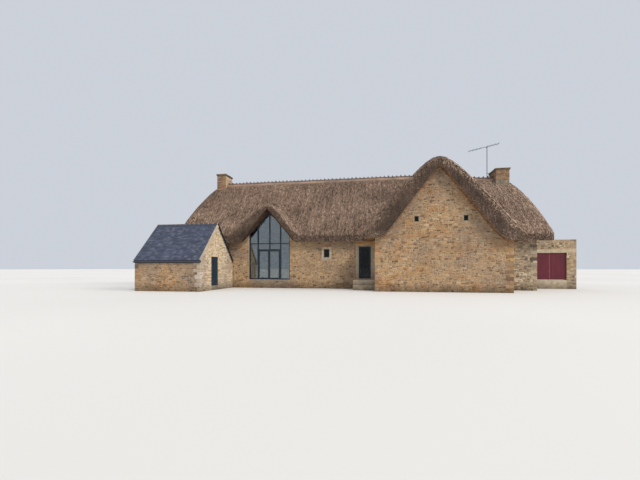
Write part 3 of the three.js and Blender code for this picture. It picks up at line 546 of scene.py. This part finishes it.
def wall_face(plan, side):
    """Where one side of a rectangle in plan starts, and how long it is."""
    wide, deep = plan.east - plan.west, plan.north - plan.south
    start, length = {
        SOUTH: ((plan.west, plan.south, 0), wide),
        EAST: ((plan.east, plan.south, 0), deep),
        NORTH: ((plan.east, plan.north, 0), wide),
        WEST: ((plan.west, plan.north, 0), deep),
    }[side]
    return Vector(start), round(length, 12)


COURSE, STONE, PROUD = (0.055, 0.15), (0.07, 0.28), (0.003, 0.02)


def rubble(name, seed, panels, allowed, material, slot, course=COURSE, stone=STONE, proud=PROUD):
    """The stones of one or more wall panels as one mesh. A panel is (rectangle, side, foot, top)."""
    rng = np.random.default_rng(seed)
    points, tints = [], []
    for plan, side, foot, top in panels:
        origin, length = wall_face(plan, side)
        normal = Vector(side)
        along = UP.cross(normal)
        quads = wall_quads(rng, origin, along, normal, length, (foot, top), allowed, course, stone)
        if not len(quads):
            continue
        local = stones_from_quads(rng, quads, proud)
        place = np.array(origin) + local @ np.array([along, UP, normal])
        place[..., 2] = np.maximum(place[..., 2], 0.0)
        points.append(place.reshape(-1, 3))
        tints.append(np.repeat(rng.random(len(quads)), POINTS_A_STONE))
    tint = np.concatenate(tints)
    faces = stone_faces(len(tint) // POINTS_A_STONE)
    return make_piece(name, np.concatenate(points), faces, material, tint)


def screen_plinth():
    """Rubble facing under the glazed screen, with a cut sill on it."""
    sill_foot = 0.55
    panel = (SCREEN, SOUTH, 0, sill_foot - 0.005)
    rubble("stones_screen_plinth", 17, [panel], {"ground_floor"}, RUBBLE_FRONT, "rubble_stone")
    low = (SCREEN.west + 0.005, SCREEN.south - 0.035, sill_foot)
    high = (SCREEN.east - 0.005, SCREEN.south - 0.001, FLOOR)
    boxes_piece("screen_sill", [(low, high)], DRESSED, 0.005)


def house_stones():
    front = {f"front_wall_{part}" for part in ("west", "centre", "east")}
    ends = {"end_wall_west", "end_wall_east", "back_wall"} | front
    wing = {"wing_gable_wall", "wing_wall_west", "wing_wall_east"}
    walls = [
        ("wing_gable", 11, [(WING, SOUTH, 0, GABLE_TOP)], {"wing_gable_wall"}),
        ("wing_sides", 12, [(WING, side, 0, WING_SIDE_TOP) for side in (WEST, EAST)], wing),
        ("front", 13, [(HOUSE._replace(east=WING.east), SOUTH, 0, FRONT_TOP)], front),
        ("front_east", 18, [(HOUSE._replace(west=WING.east), SOUTH, 0, FRONT_TOP)], front),
        ("back", 14, [(HOUSE, NORTH, 0, BACK_TOP)], ends),
        ("end_west", 15, [(HOUSE, WEST, 0, GABLE_TOP)], ends),
        ("end_east", 16, [(HOUSE, EAST, 0, GABLE_TOP)], ends),
    ]
    materials = {"front": RUBBLE_FRONT, "front_east": RUBBLE_GREY, "end_east": RUBBLE_GREY}
    for name, seed, panels, allowed in walls:
        rubble(f"stones_{name}", seed, panels, allowed, materials.get(name, RUBBLE), "rubble_stone")
    for node in sorted(ends | wing):
        dress(node, MORTAR)


def outbuilding_stones():
    gable = {f"outbuilding_gable_{part}" for part in ("south", "north", "head")}
    walls = gable | {"outbuilding_walls"}
    face = [(SHED, EAST, 0, SHED_GABLE_TOP)]
    # the east gable takes the cream stone as painted light; the other sides take the plain rubble
    rubble("stones_outbuilding_gable", 21, face, gable, RUBBLE_SUNLIT, "outbuilding_stone")
    past_house = SHED._replace(east=HOUSE.west, north=SHED.north - SEAT)
    sides = [(SHED, SOUTH, 0, SHED_SIDE_TOP), (SHED, WEST, 0, SHED_GABLE_TOP)]
    sides.append((past_house, NORTH, 0, SHED_SIDE_TOP))
    rubble("stones_outbuilding_sides", 22, sides, walls, RUBBLE, "outbuilding_stone")
    for node in sorted(walls):
        dress(node, MORTAR)


def gateway_stones():
    stone = {"gateway_pier_west", "gateway_pier_east", "gateway_wall_head"}
    panels = [(GATEWAY, side, 0, GATE_WALL_TOP) for side in (SOUTH, NORTH)]
    panels += [(JAMBS, side, 0, GATE_PIER_TOP) for side in (EAST, WEST)]
    end = [(GATEWAY, EAST, 0, GATE_WALL_TOP)]
    rubble("stones_gateway", 31, panels, stone, RUBBLE_GREY, "gateway_stone", proud=(0.004, 0.014))
    rubble("stones_gateway_end", 32, end, stone, RUBBLE_GREY, "gateway_stone", proud=(0.003, 0.008))
    for node in sorted(stone):
        dress(node, MORTAR)
    for part in ("lintel", "threshold"):
        dress(f"gateway_{part}", DRESSED)


def four_sides(low, high, inset, foot, top):
    """The four upright faces of a box as wall panels."""
    plan = Plan(low.x + inset, high.x - inset, low.y + inset, high.y - inset)
    return [(plan, side, foot, top) for side in (SOUTH, NORTH, EAST, WEST)]


def stack_corbel(node, low, high, top):
    """A projecting course under the cap, as four bars round the shaft."""
    inner, outer, deep = 0.075, 0.03, 0.07
    x, y = (low.x + outer, high.x - outer), (low.y + outer, high.y - outer)
    in_x, in_y = (low.x + inner, high.x - inner), (low.y + inner, high.y - inner)
    z = (top - deep, top - 0.002)
    bars = [
        ((x[0], y[0], z[0]), (x[1], in_y[0], z[1])),
        ((x[0], in_y[1], z[0]), (x[1], y[1], z[1])),
        ((x[0], in_y[0], z[0]), (in_x[0], in_y[1], z[1])),
        ((in_x[1], in_y[0], z[0]), (x[1], in_y[1], z[1])),
    ]
    boxes_piece(f"corbel_{node}", bars, RUBBLE_CAP, 0.01)


def stack_stones():
    """Rubble shafts under a ring of dark cap stones, and a cement collar at the foot of the east one."""
    lip, cap_deep, slot = 0.06, 0.09, "chimney_stone"
    shaft_sizes = (0.06, 0.16), (0.09, 0.34), (0.004, 0.022)
    cap_sizes = (0.09, 0.1), (0.14, 0.36), (0.004, 0.03)
    # the west stack's sides take the paler stone as painted light; its front and the east stack keep the
    # plain stack stone
    stacks = (("west", 41, RUBBLE_STACK_SUNLIT, 7.3), ("east", 42, RUBBLE_STACK, 7.93))
    for side, seed, sides_material, foot in stacks:
        node = f"chimney_{side}"
        low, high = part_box(node)
        top = high.z - cap_deep
        shaft = four_sides(low, high, lip, foot, top)
        rubble(f"stones_{node}_front", seed, shaft[:1], {node}, RUBBLE_STACK, slot, *shaft_sizes)
        rubble(f"stones_{node}_sides", seed + 10, shaft[1:], {node}, sides_material, slot, *shaft_sizes)
        cap = four_sides(low, high, 0, top, high.z)
        rubble(f"cap_{node}", seed + 5, cap, {node}, RUBBLE_CAP, slot, *cap_sizes)
        dress(node, CEMENT)
        stack_corbel(node, low, high, top)


# Quoins

QUOIN_PROUD, QUOIN_JOINT, QUOIN_LOWEST = 0.02, 0.005, 0.12
QUOIN_HIGH, QUOIN_LONG, QUOIN_SHORT = (0.17, 0.28), (0.34, 0.46), (0.17, 0.24)


def quoins(name, seed, edges, material):
    """Larger blocks up the outer corners, long and short sides taking turns.

    An edge is (rectangle in plan, x side, y side, top).
    """
    rng = np.random.default_rng(seed)
    blocks = []
    for plan, side_x, side_y, top in edges:
        x = plan.east if side_x > 0 else plan.west
        y = plan.north if side_y > 0 else plan.south
        z, turn = 0.0, 0
        while z < top - QUOIN_LOWEST:
            height = min(rng.uniform(*QUOIN_HIGH), top - z)
            long, short = rng.uniform(*QUOIN_LONG), rng.uniform(*QUOIN_SHORT)
            reach_x, reach_y = (long, short) if turn % 2 else (short, long)
            out = QUOIN_PROUD + rng.uniform(-0.004, 0.004)
            xs = sorted((x + side_x * out, x - side_x * reach_x))
            ys = sorted((y + side_y * out, y - side_y * reach_y))
            zs = (z + QUOIN_JOINT, z + height - QUOIN_JOINT)
            blocks.append(tuple(zip(xs, ys, zs)))
            z += height
            turn += 1
    boxes_piece(name, blocks, material, 0.012)


def all_quoins():
    wing_top, house_top, shed_top = 3.05, 2.95, 1.78
    house = [(WING, -1, -1, wing_top), (WING, 1, -1, wing_top), (HOUSE, -1, 1, house_top)]
    house_east = [(HOUSE, 1, 1, house_top), (HOUSE, 1, -1, house_top)]
    quoins("quoins_house", 45, house, RUBBLE)
    quoins("quoins_house_east", 48, house_east, RUBBLE_GREY)
    quoins("quoins_outbuilding_east", 46, [(SHED, 1, -1, shed_top)], RUBBLE_SUNLIT)
    quoins("quoins_outbuilding_west", 47, [(SHED, -1, -1, shed_top)], RUBBLE)


# Thatch

SLOPES = [
    "half_hip_west", "front_slope", "wing_west_slope", "wing_east_slope", "back_slope", "half_hip_east",
]
REEDS_PER_M2 = 420
CUT_EDGE = 0.25
VERGE_FOOT = 3.7
WING_VERGE_Y = -0.15


def thatch_samples(rng, node):
    """Seeded places on the open faces of a thatch piece with the face's normal.

    A face whose normal stands less upright than CUT_EDGE is a cut edge, and has more reed ends.
    """
    mesh = NODES[node].data
    mesh.calc_loop_triangles()
    corners = np.array([[mesh.vertices[v].co[:] for v in t.vertices] for t in mesh.loop_triangles])
    cross = np.cross(corners[:, 1] - corners[:, 0], corners[:, 2] - corners[:, 0])
    size = np.linalg.norm(cross, axis=1)
    keep = size > 1e-6
    corners, cross, size = corners[keep], cross[keep], size[keep]
    normals = cross / size[:, None]
    centres = corners.mean(1)

    def is_open(centre, normal):
        start, out = Vector(centre) + Vector(normal) * 0.0001, Vector(normal)
        return normal[2] > -0.35 and SURFACE.ray_cast(start, out, 0.004)[0] is None

    open_face = np.array([is_open(c, n) for c, n in zip(centres, normals)])
    corners, normals, area = corners[open_face], normals[open_face], size[open_face] / 2
    density = np.where(normals[:, 2] > CUT_EDGE, REEDS_PER_M2, REEDS_PER_M2 * 1.3)
    count = np.floor(area * density + rng.random(len(area))).astype(int)
    which = np.repeat(np.arange(len(area)), count)
    a, b = rng.random((2, len(which)))
    flip = a + b > 1
    a, b = np.where(flip, 1 - a, a), np.where(flip, 1 - b, b)
    c = corners[which]
    place = c[:, 0] + a[:, None] * (c[:, 1] - c[:, 0]) + b[:, None] * (c[:, 2] - c[:, 0])
    return place, normals[which]


def depth_in_thatch(place, normal):
    """How far under the roof's upper side a place on a cut edge lies, straight up."""
    found = []
    for point, out in zip(place, normal):
        inside = Vector(point) - Vector(out) * 0.03
        found.append(SURFACE.ray_cast(inside, UP, 2.0)[3] or 0.0)
    return np.array(found)


def streaks(along_eave, down_slope):
    """Lighter and darker combing that runs down the slope, between -1 and 1."""
    broad = np.sin(2 * math.pi * along_eave / 0.83 + 2.1 * np.sin(0.9 * along_eave) + 0.3 * down_slope)
    fine = np.sin(2 * math.pi * along_eave / 0.31 + 1.7 * np.sin(2.3 * along_eave + 0.8 * down_slope))
    return 0.35 * broad + 0.65 * fine


def reed_tints(rng, place, normal, steep, combing):
    """A tint for each reed, with painted light and shade: paler where it faces east and towards the east
    end, paler along a verge's top, darker towards its underside.
    """
    # darker: positive values are painted shade, negative ones painted light; cut edges are a touch darker
    darker = np.where(steep, 0.02, 0.0)
    # painted highlight along the front edge of the wing's east slope
    darker[~steep & (place[:, 1] < WING_VERGE_Y) & (normal[:, 0] > 0.05)] = -0.3
    verge = steep & (place[:, 2] > VERGE_FOOT)
    depth = depth_in_thatch(place[verge], normal[verge])
    # verge faces: painted light near the top on the east side, paler still towards the low end, and painted
    # shade towards the underside on both sides
    low_end = np.clip((5.6 - place[verge, 2]) / 1.6, 0, 1)
    lit = np.clip(2.6 * depth - 1.0, -0.6, 0.4) - 0.3 * low_end
    shaded = np.clip(1.1 * depth - 0.15, -0.15, 0.5)
    darker[verge] = np.where(place[verge, 0] > 0, lit, shaded)
    # painted light where the reeds face east, and paler towards the house's east end
    painted_east_light_and_paler_end = 0.35 * np.clip(normal[:, 0], 0, 1) + 0.16 * np.clip((place[:, 0] - 3.5) / 1.5, 0, 1)
    tint = rng.normal(0.5, 0.2, len(place)) + 0.11 * combing + painted_east_light_and_paler_end - darker
    return np.clip(tint, 0, 1)


def reeds(slope, seed):
    """A coat of reed ends, laid down the slope with each lower end a little proud."""
    rng = np.random.default_rng(seed)
    place, normal = thatch_samples(rng, f"thatch_{slope}")
    count = len(place)
    steep = normal[:, 2] < CUT_EDGE
    down = np.array([0, 0, -1.0]) + normal * normal[:, 2:3]
    down[:, 1] += np.where(np.linalg.norm(down, axis=1) < 0.02, -0.02, 0)
    down /= np.linalg.norm(down, axis=1, keepdims=True)
    across = np.cross(normal, down)
    combing = streaks((place * across).sum(1), (place * down).sum(1))
    yaw = rng.normal(0, np.where(steep, 0.5, 0.13))[:, None]
    down, across = down * np.cos(yaw) + across * np.sin(yaw), across * np.cos(yaw) - down * np.sin(yaw)
    twist = rng.normal(0, 0.35, count)[:, None]
    across = across * np.cos(twist) + normal * np.sin(twist)

    def sizes(on_edge, on_slope):
        return np.where(steep, rng.uniform(*on_edge, count), rng.uniform(*on_slope, count))[:, None]

    length = sizes((0.05, 0.13), (0.16, 0.36))
    width = sizes((0.008, 0.018), (0.01, 0.026))
    lift = sizes((0.002, 0.014), (0.008, 0.03))
    head = place - down * length / 2 - normal * 0.004
    tail = place + down * length / 2 + normal * lift
    thin, wide = across * width * 0.3, across * width / 2
    points = np.stack([head - thin, tail - wide, tail + wide, head + thin], 1)
    faces = np.arange(count * 4).reshape(-1, 4)
    tint = np.repeat(reed_tints(rng, place, normal, steep, combing), 4)
    make_piece(f"reeds_{slope}", points.reshape(-1, 3), faces, THATCH, tint)


def thatch():
    for i, slope in enumerate(SLOPES):
        dress(f"thatch_{slope}", THATCH_CUT)
        reeds(slope, 51 + i)


# Ridge

HALF_STEPS = 10


def half_round(x, y, z, radii, start, flatter=1.0):
    """Points of upright half circles across x, one radius after the other, from a starting turn."""
    points = []
    for radius in radii:
        for k in range(HALF_STEPS + 1):
            turn = start + math.pi * k / HALF_STEPS
            points.append((x, y + radius * flatter * math.cos(turn), z + radius * math.sin(turn)))
    return points


def half_round_faces(base, inner):
    """Faces of a half-round piece between two rings of each end, with its inner side where asked."""
    ring = HALF_STEPS + 1
    faces = []
    for a in range(base, base + HALF_STEPS):
        b = a + 2 * ring
        faces.append((a, a + 1, b + 1, b))
        if inner:
            faces.append((a + ring + 1, a + ring, b + ring, b + ring + 1))
        faces.append((a, a + ring, a + ring + 1, a + 1))
        faces.append((b, b + 1, b + ring + 1, b + ring))
    return faces


def evenly(low, high, end_gap, count):
    """Places along x from one end gap to the other, with "count" equal steps between them."""
    return [low.x + end_gap + (high.x - low.x - 2 * end_gap) * i / count for i in range(count + 1)]


def top_at(node, x, y):
    """Height of one frame piece's upper side at a place in plan."""
    return NODES[node].ray_cast(Vector((x, y, 20)), -UP)[1].z


def ridge_tiles():
    """Half-round clay tiles laid end over end along the ridge between the two stacks."""
    low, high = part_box("ridge_capping")
    ridge_y = (low.y + high.y) / 2
    rng = np.random.default_rng(61)
    points, faces, tints = [], [], []
    pitch, lap = 0.32, 0.04
    wide_end, narrow_end, thick, bedded, flatter = 0.13, 0.1, 0.016, 0.05, 1.15
    count = int((high.x - low.x - 0.05) / pitch)
    for start in evenly(low, high, 0.02, count)[:-1]:
        end = min(start + pitch + lap, high.x - 0.005)
        sway = rng.uniform(-0.008, 0.008)
        base = len(points)
        for x, radius in ((start, wide_end), (end, narrow_end)):
            z = top_at("ridge_capping", x, ridge_y) - bedded
            points += half_round(x, ridge_y + sway, z, (radius, radius - thick), 0.0, flatter)
        faces += half_round_faces(base, inner=False)
        tints += [rng.random()] * (len(points) - base)
    make_piece("ridge_tiles", points, faces, CLAY, tints)
    crests = []
    half_wide, sunk = 0.1, 0.04
    for x in evenly(low, high, 0.03, count):
        z = top_at("ridge_capping", x, ridge_y)
        half, rise = rng.uniform(0.035, 0.05), rng.uniform(0.125, 0.155)
        west = max(x - half, low.x + 0.003)
        crests.append(((west, ridge_y - half_wide, z - sunk), (x + half, ridge_y + half_wide, z + rise)))
    boxes_piece("ridge_crests", crests, CLAY, 0.03)
    dress("ridge_capping", BEDDING)


# Outbuilding roof

SHED_FALL = 1.05
SHED_ALONG = math.hypot(1, SHED_FALL)
SLATE_SHOWN, SLATE_LENGTH, SLATE_THICK = 0.125, 0.27, 0.008
BAR_FACES = [[0, 1, 2, 3], [7, 6, 5, 4], [4, 5, 1, 0], [5, 6, 2, 1], [6, 7, 3, 2], [7, 4, 0, 3]]


def slope_of(side):
    """One slope of the outbuilding: its box, the ridge's place and height, and the eave's place."""
    low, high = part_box(f"outbuilding_{'front' if side < 0 else 'rear'}_slates")
    ridge_y, eave_y = (high.y, low.y) if side < 0 else (low.y, high.y)
    return low, high, ridge_y, high.z, eave_y


def slates(side, seed):
    """Rows of slates on one slope of the outbuilding, each lapping the row below."""
    rng = np.random.default_rng(seed)
    low, high, ridge_y, ridge_z, eave_y = slope_of(side)
    edge, joint, stagger = 0.004, 0.003, 0.1
    ridge = np.array([0, ridge_y, ridge_z])
    length = abs(eave_y - ridge_y) * SHED_ALONG
    rows = int(length / SLATE_SHOWN)
    down = np.array([0, side / SHED_ALONG, -SHED_FALL / SHED_ALONG])
    out = np.array([0, side * SHED_FALL / SHED_ALONG, 1 / SHED_ALONG])
    points, tints = [], []
    for row in range(rows + 1):
        tail = length * row / rows
        if tail < 0.1:
            continue
        head = max(tail - SLATE_LENGTH, 0.0)
        x = low.x + edge - (stagger if row % 2 else 0.0)
        while x < high.x - 0.01:
            width = rng.uniform(0.17, 0.23)
            a, b = max(x, low.x + edge), min(x + width - joint, high.x - edge)
            x += width
            if b - a < 0.03:
                continue
            top = ridge + down * head + out * 0.002
            foot = ridge + down * (tail + rng.uniform(-0.004, 0.004)) + out * rng.uniform(0.014, 0.02)
            for base, thick in ((top, 0.0), (foot, 0.0), (foot, -SLATE_THICK)):
                for px in (a, b):
                    points.append((px, *(base + out * thick)[1:]))
            tints += [rng.random() ** 1.3] * 6
    faces = repeated([[0, 1, 3, 2], [2, 3, 5, 4]], 6, len(points) // 6)
    make_piece(f"slates_{'front' if side < 0 else 'rear'}", points, faces, SLATE, tints)


def sloped_bar(side, x, across, from_share, lift, deep):
    """Corners of a bar that lies along one slope of the outbuilding, from near its ridge to its eave."""
    _, _, ridge_y, ridge_z, eave_y = slope_of(side)
    points = []
    for share in (from_share, 1.0):
        y = ridge_y + (eave_y - ridge_y) * share
        z = ridge_z - SHED_FALL * abs(y - ridge_y)
        for out in (lift, lift - deep):
            for px in (x, x + across):
                points.append((px, y + side * SHED_FALL / SHED_ALONG * out, z + out / SHED_ALONG))
    order = [0, 1, 5, 4, 2, 3, 7, 6]
    return [points[i] for i in order]


def outbuilding_verges():
    """A pale bedded fillet up the front verge of the gable and dark verge boards on the others."""
    low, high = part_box("outbuilding_front_slates")
    fillet = sloped_bar(-1, high.x - 0.055, across=0.062, from_share=0.04, lift=0.04, deep=0.2)
    make_piece("verge_fillet", fillet, BAR_FACES, DRESSED, [0.5] * 8)
    boards, thick = [], 0.03
    for side, x in ((1, high.x - thick), (1, low.x), (-1, low.x)):
        boards.append(sloped_bar(side, x, across=thick, from_share=0.0, lift=0.026, deep=0.19))
    faces = repeated(BAR_FACES, 8, 3)
    make_piece("verge_boards", np.concatenate(boards), faces, ZINC, [0.5] * 24)


def gutter():
    """Half-round zinc gutter along the outbuilding's front eave, on brackets."""
    low, high, ridge_y, ridge_z, eave_y = slope_of(-1)
    y, z = eave_y - 0.05, ridge_z - SHED_FALL * (ridge_y - eave_y) - 0.07
    radius, wall = 0.055, 0.004
    points = []
    for x in (low.x, high.x):
        points += half_round(x, y, z, (radius, radius - wall), math.pi)
    ring = HALF_STEPS + 1
    faces = half_round_faces(0, inner=True)
    for k in (0, HALF_STEPS):
        faces.append((k, 2 * ring + k, 3 * ring + k, ring + k))
    make_piece("outbuilding_gutter", points, faces, ZINC, [0.5] * len(points))
    half_wide, brackets = 0.012, []
    near, far, under = y - radius - 0.004, y + radius + 0.01, z - radius - 0.006
    for x in evenly(low, high, 0.3, 5):
        brackets.append(((x - half_wide, near, under), (x + half_wide, far, z - radius)))
        brackets.append(((x - half_wide, y + radius, under), (x + half_wide, far, z + 0.01)))
    boxes_piece("gutter_brackets", brackets, IRON, 0)


def ridge_joints():
    """Pale mortar between the outbuilding's ridge tiles."""
    low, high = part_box("outbuilding_ridge")
    half_long, half_wide = 0.022, 0.05
    y, foot, top = (low.y + high.y) / 2, high.z - 0.06, high.z + 0.025
    joints = []
    for x in evenly(low, high, 0.08, 13):
        joints.append(((x - half_long, y - half_wide, foot), (x + half_long, y + half_wide, top)))
    boxes_piece("outbuilding_ridge_joints", joints, DRESSED, 0.012)


def outbuilding_roof():
    slates(-1, 71)
    slates(1, 72)
    ridge_joints()
    outbuilding_verges()
    gutter()
    for part in ("front_slates", "rear_slates", "ridge"):
        dress(f"outbuilding_{part}", SLATE)


# Windows


def four_bars(x0, x1, ys, z0, z1, wide, foot):
    """A frame of two upright bars and two cross bars between them, the lower one "foot" high."""
    return [
        ((x0, ys[0], z0), (x0 + wide, ys[1], z1)),
        ((x1 - wide, ys[0], z0), (x1, ys[1], z1)),
        ((x0 + wide, ys[0], z0), (x1 - wide, ys[1], z0 + foot)),
        ((x0 + wide, ys[0], z1 - wide), (x1 - wide, ys[1], z1)),
    ]


RECESS, BAR_WIDE, BAR_DEEP, GLAZING_BAR, PANE_HELD = 0.12, 0.045, 0.05, 0.028, 0.01


def window(node, stone=DRESSED, edge=0.15, bars=0, outward=-1):
    """Four cut stones round an opening, a painted frame with its bars, and a pane."""
    low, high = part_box(node)
    x0, x1, z0, z1 = low.x + edge, high.x - edge, low.z + edge, high.z - edge
    gap = 0.002
    stones = [
        ((low.x, low.y, z1 + gap), high),
        (low, (high.x, high.y, z0 - gap)),
        ((low.x, low.y, z0), (x0, high.y, z1)),
        ((x1, low.y, z0), (high.x, high.y, z1)),
    ]
    stones = boxes_piece(f"{node}_stones", stones, stone, 0.006)
    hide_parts(node)
    middle = (low.y if outward < 0 else high.y) - outward * RECESS
    y = (middle - BAR_DEEP / 2, middle + BAR_DEEP / 2)
    rails = four_bars(x0, x1, y, z0, z1, BAR_WIDE, BAR_WIDE)
    for i in range(1, bars + 1):
        at = x0 + (x1 - x0) * i / (bars + 1)
        low_end = (at - GLAZING_BAR / 2, y[0] + 0.008, z0 + BAR_WIDE)
        rails.append((low_end, (at + GLAZING_BAR / 2, y[1] - 0.008, z1 - BAR_WIDE)))
    boxes_piece(f"{node}_frame", rails, SASH_PAINT)
    hold = BAR_WIDE - PANE_HELD
    pane = (x0 + hold, middle - 0.006, z0 + hold), (x1 - hold, middle + 0.006, z1 - hold)
    boxes_piece(f"{node}_pane", [pane], GLASS, 0)


def windows():
    window("small_window")
    for side in ("west", "east"):
        window(f"gable_light_{side}", SURROUND, edge=0.11)
    for side in ("west", "east"):
        window(f"back_window_{side}", bars=1, outward=1)


# Leaves


def glazed_leaf(node, body, looks, foot, rail, handle_side):
    """A door leaf in frame, pane and lever, on its own body, turning on a pin in the "foot" under it.

    "looks" is (paint, slot, glass).
    """
    material, slot, pane_material = looks
    low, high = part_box(node)
    y0, y1, z0 = low.y, high.y, low.z + foot
    x0, x1, z1 = low.x, high.x, high.z
    sill = rail * 1.6
    rails = four_bars(x0, x1, (y0, y1), z0, z1, rail, sill)
    stiles = boxes_piece(f"{node}_frame", rails, material, body=body)
    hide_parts(node)
    middle, hold = (y0 + y1) / 2, rail - PANE_HELD
    pane = (x0 + hold, middle - 0.008, z0 + sill - PANE_HELD), (x1 - hold, middle + 0.008, z1 - hold)
    boxes_piece(f"{node}_pane", [pane], pane_material, 0, body)
    at = x1 - rail / 2 if handle_side > 0 else x0 + rail / 2
    height, arm, grip, plate = z0 + 1.02, 0.11, 0.009, y0 - 0.006
    reach = at - handle_side * arm
    lever = [
        ((at - 0.016, plate, height - arm), (at + 0.016, y0, height + arm)),
        ((at - grip, y0 - 0.05, height - grip), (at + grip, plate, height + grip)),
        ((min(at, reach), y0 - 0.05, height - grip), (max(at, reach), y0 - 0.034, height + grip)),
    ]
    boxes_piece(f"{node}_lever", lever, METAL, 0.003, body)
    pin_x = low.x + 0.008 if handle_side > 0 else high.x - 0.008
    pin = [((pin_x - 0.005, y1 - 0.013, low.z), (pin_x + 0.005, y1 - 0.003, z0))]
    boxes_piece(f"{node}_pivot", pin, IRON, 0, body)


BOARD_WIDE = 0.11


def boarded_leaf(node, body, looks, foot, axis, front, hinge_low):
    """A door leaf of upright boards with two ledges behind and two strap hinges in front.

    "axis" is the one across the leaf's thickness, and "front" the way its front looks along it.
    """
    material, slot = looks
    low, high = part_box(node)
    low = Vector((low.x, low.y, low.z + foot))
    across = 1 - axis
    width = high[across] - low[across]
    count = round(width / BOARD_WIDE)
    face = low[axis] if front < 0 else high[axis]
    strap, board, back, gap = 0.004, 0.03, 0.049, 0.0015
    boards, straps, ledges = [], [], []

    def box(a, b, z0, z1, d0, d1):
        """A box from a to b across the leaf and from d0 to d1 behind its face."""
        lo, hi = [0, 0, z0], [0, 0, z1]
        lo[across], hi[across] = a, b
        lo[axis], hi[axis] = sorted((face - front * d0, face - front * d1))
        return lo, hi

    for i in range(count):
        a = low[across] + width * i / count
        boards.append(box(a + gap, a + width / count - gap, low.z, high.z, strap, board))
    for share in (0.14, 0.82):
        z = low.z + (high.z - low.z) * share
        ledges.append(box(low[across] + 0.02, high[across] - 0.02, z - 0.06, z + 0.06, board, back))
        reach = width * 0.7
        a = low[across] + 0.01 if hinge_low else high[across] - 0.01 - reach
        straps.append(box(a, a + reach, z - 0.018, z + 0.018, 0.0, strap))
    planks = boxes_piece(f"{node}_boards", boards, material, 0.003, body)
    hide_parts(node)
    boxes_piece(f"{node}_ledges", ledges, material, 0.003, body)
    boxes_piece(f"{node}_straps", straps, IRON, 0.001, body)


def leaves():
    screen = (SCREEN_PAINT, "screen_metal", COATED_GLASS)
    for side, hand in (("west", 1), ("east", -1)):
        node = f"screen_door_{side}"
        glazed_leaf(node, f"screen_leaf_{side}", screen, foot=0.0147, rail=0.08, handle_side=hand)
    entrance = (DOOR_PAINT, "entrance_door_paint", GLASS)
    glazed_leaf("entrance_door", "entrance_leaf", entrance, foot=0.0117, rail=0.095, handle_side=1)
    shed = (DOOR_PAINT, "outbuilding_door_paint")
    boarded_leaf("outbuilding_door", "outbuilding_leaf", shed, foot=0.0147, axis=0, front=1, hinge_low=True)
    gate = (GATE_PAINT, "gate_paint")
    for side in ("west", "east"):
        node = f"gate_leaf_{side}"
        boarded_leaf(node, f"{node}_body", gate, foot=0.0197, axis=1, front=-1, hinge_low=side == "west")


# Plain pieces of the frame


def plain_pieces():
    dress("screen_frame", SCREEN_PAINT)
    dress("screen_glass", COATED_GLASS)
    dress("entrance_surround", DRESSED)
    dress("entrance_landing", DRESSED)
    dress("entrance_lintel", TIMBER)
    dress("ground_floor", PAVING)
    dress("outbuilding_floor", PAVING)
    dress("aerial", METAL)


# Floor, light and camera


def studio():
    """A plain pale floor under a soft sky and three wide suns."""
    g = Graph("studio_floor")
    colour = g.ramp(g.noise(0.05, 2), [(0.3, (214, 212, 208)), (0.7, (222, 220, 216))])
    mesh = bpy.data.meshes.new("studio_floor")
    far, drop = 400, -0.002
    corners = [(-far, -far, drop), (far, -far, drop), (far, far, drop), (-far, far, drop)]
    mesh.from_pydata(corners, [], [(0, 1, 2, 3)])
    mesh.materials.append(g.set(base_color=colour, roughness=0.9))
    floor = bpy.data.objects.new("studio_floor", mesh)
    bpy.context.scene.collection.objects.link(floor)

    world = bpy.data.worlds.new("soft_sky")
    bpy.context.scene.world = world
    world.use_nodes = True
    back = world.node_tree.nodes["Background"]
    back.inputs["Color"].default_value = (0.86, 0.91, 1.0, 1)
    back.inputs["Strength"].default_value = 0.7

    def sun(name, turn, strength, angle, colour):
        light = bpy.data.lights.new(name, "SUN")
        light.energy = strength
        light.angle = math.radians(angle)
        light.color = colour
        lamp = bpy.data.objects.new(name, light)
        lamp.rotation_euler = [math.radians(a) for a in turn]
        bpy.context.scene.collection.objects.link(lamp)

    sun("key", (48, 0, 42), 1.75, 12, (1.0, 0.94, 0.85))
    sun("side", (62, 0, 80), 1.4, 30, (1.0, 0.96, 0.9))
    sun("fill", (60, 0, -55), 0.25, 40, (0.95, 0.97, 1.0))


def camera():
    """Eye height in front of the wing, turned a little to the west, with upright lines kept upright."""
    data = bpy.data.cameras.new("camera")
    data.lens = 19.125
    data.sensor_width = 36
    data.shift_y = 0.04375
    data.clip_end = 1000
    shot = bpy.data.objects.new("camera", data)
    shot.location = (-3.65, -21.52, 1.45)
    shot.rotation_euler = (math.radians(90), 0, math.radians(10))
    bpy.context.scene.collection.objects.link(shot)
    bpy.context.scene.camera = shot
    bpy.context.scene.view_settings.view_transform = "Standard"


house_stones()
screen_plinth()
outbuilding_stones()
gateway_stones()
stack_stones()
all_quoins()
thatch()
ridge_tiles()
outbuilding_roof()
windows()
leaves()
plain_pieces()
studio()
camera()
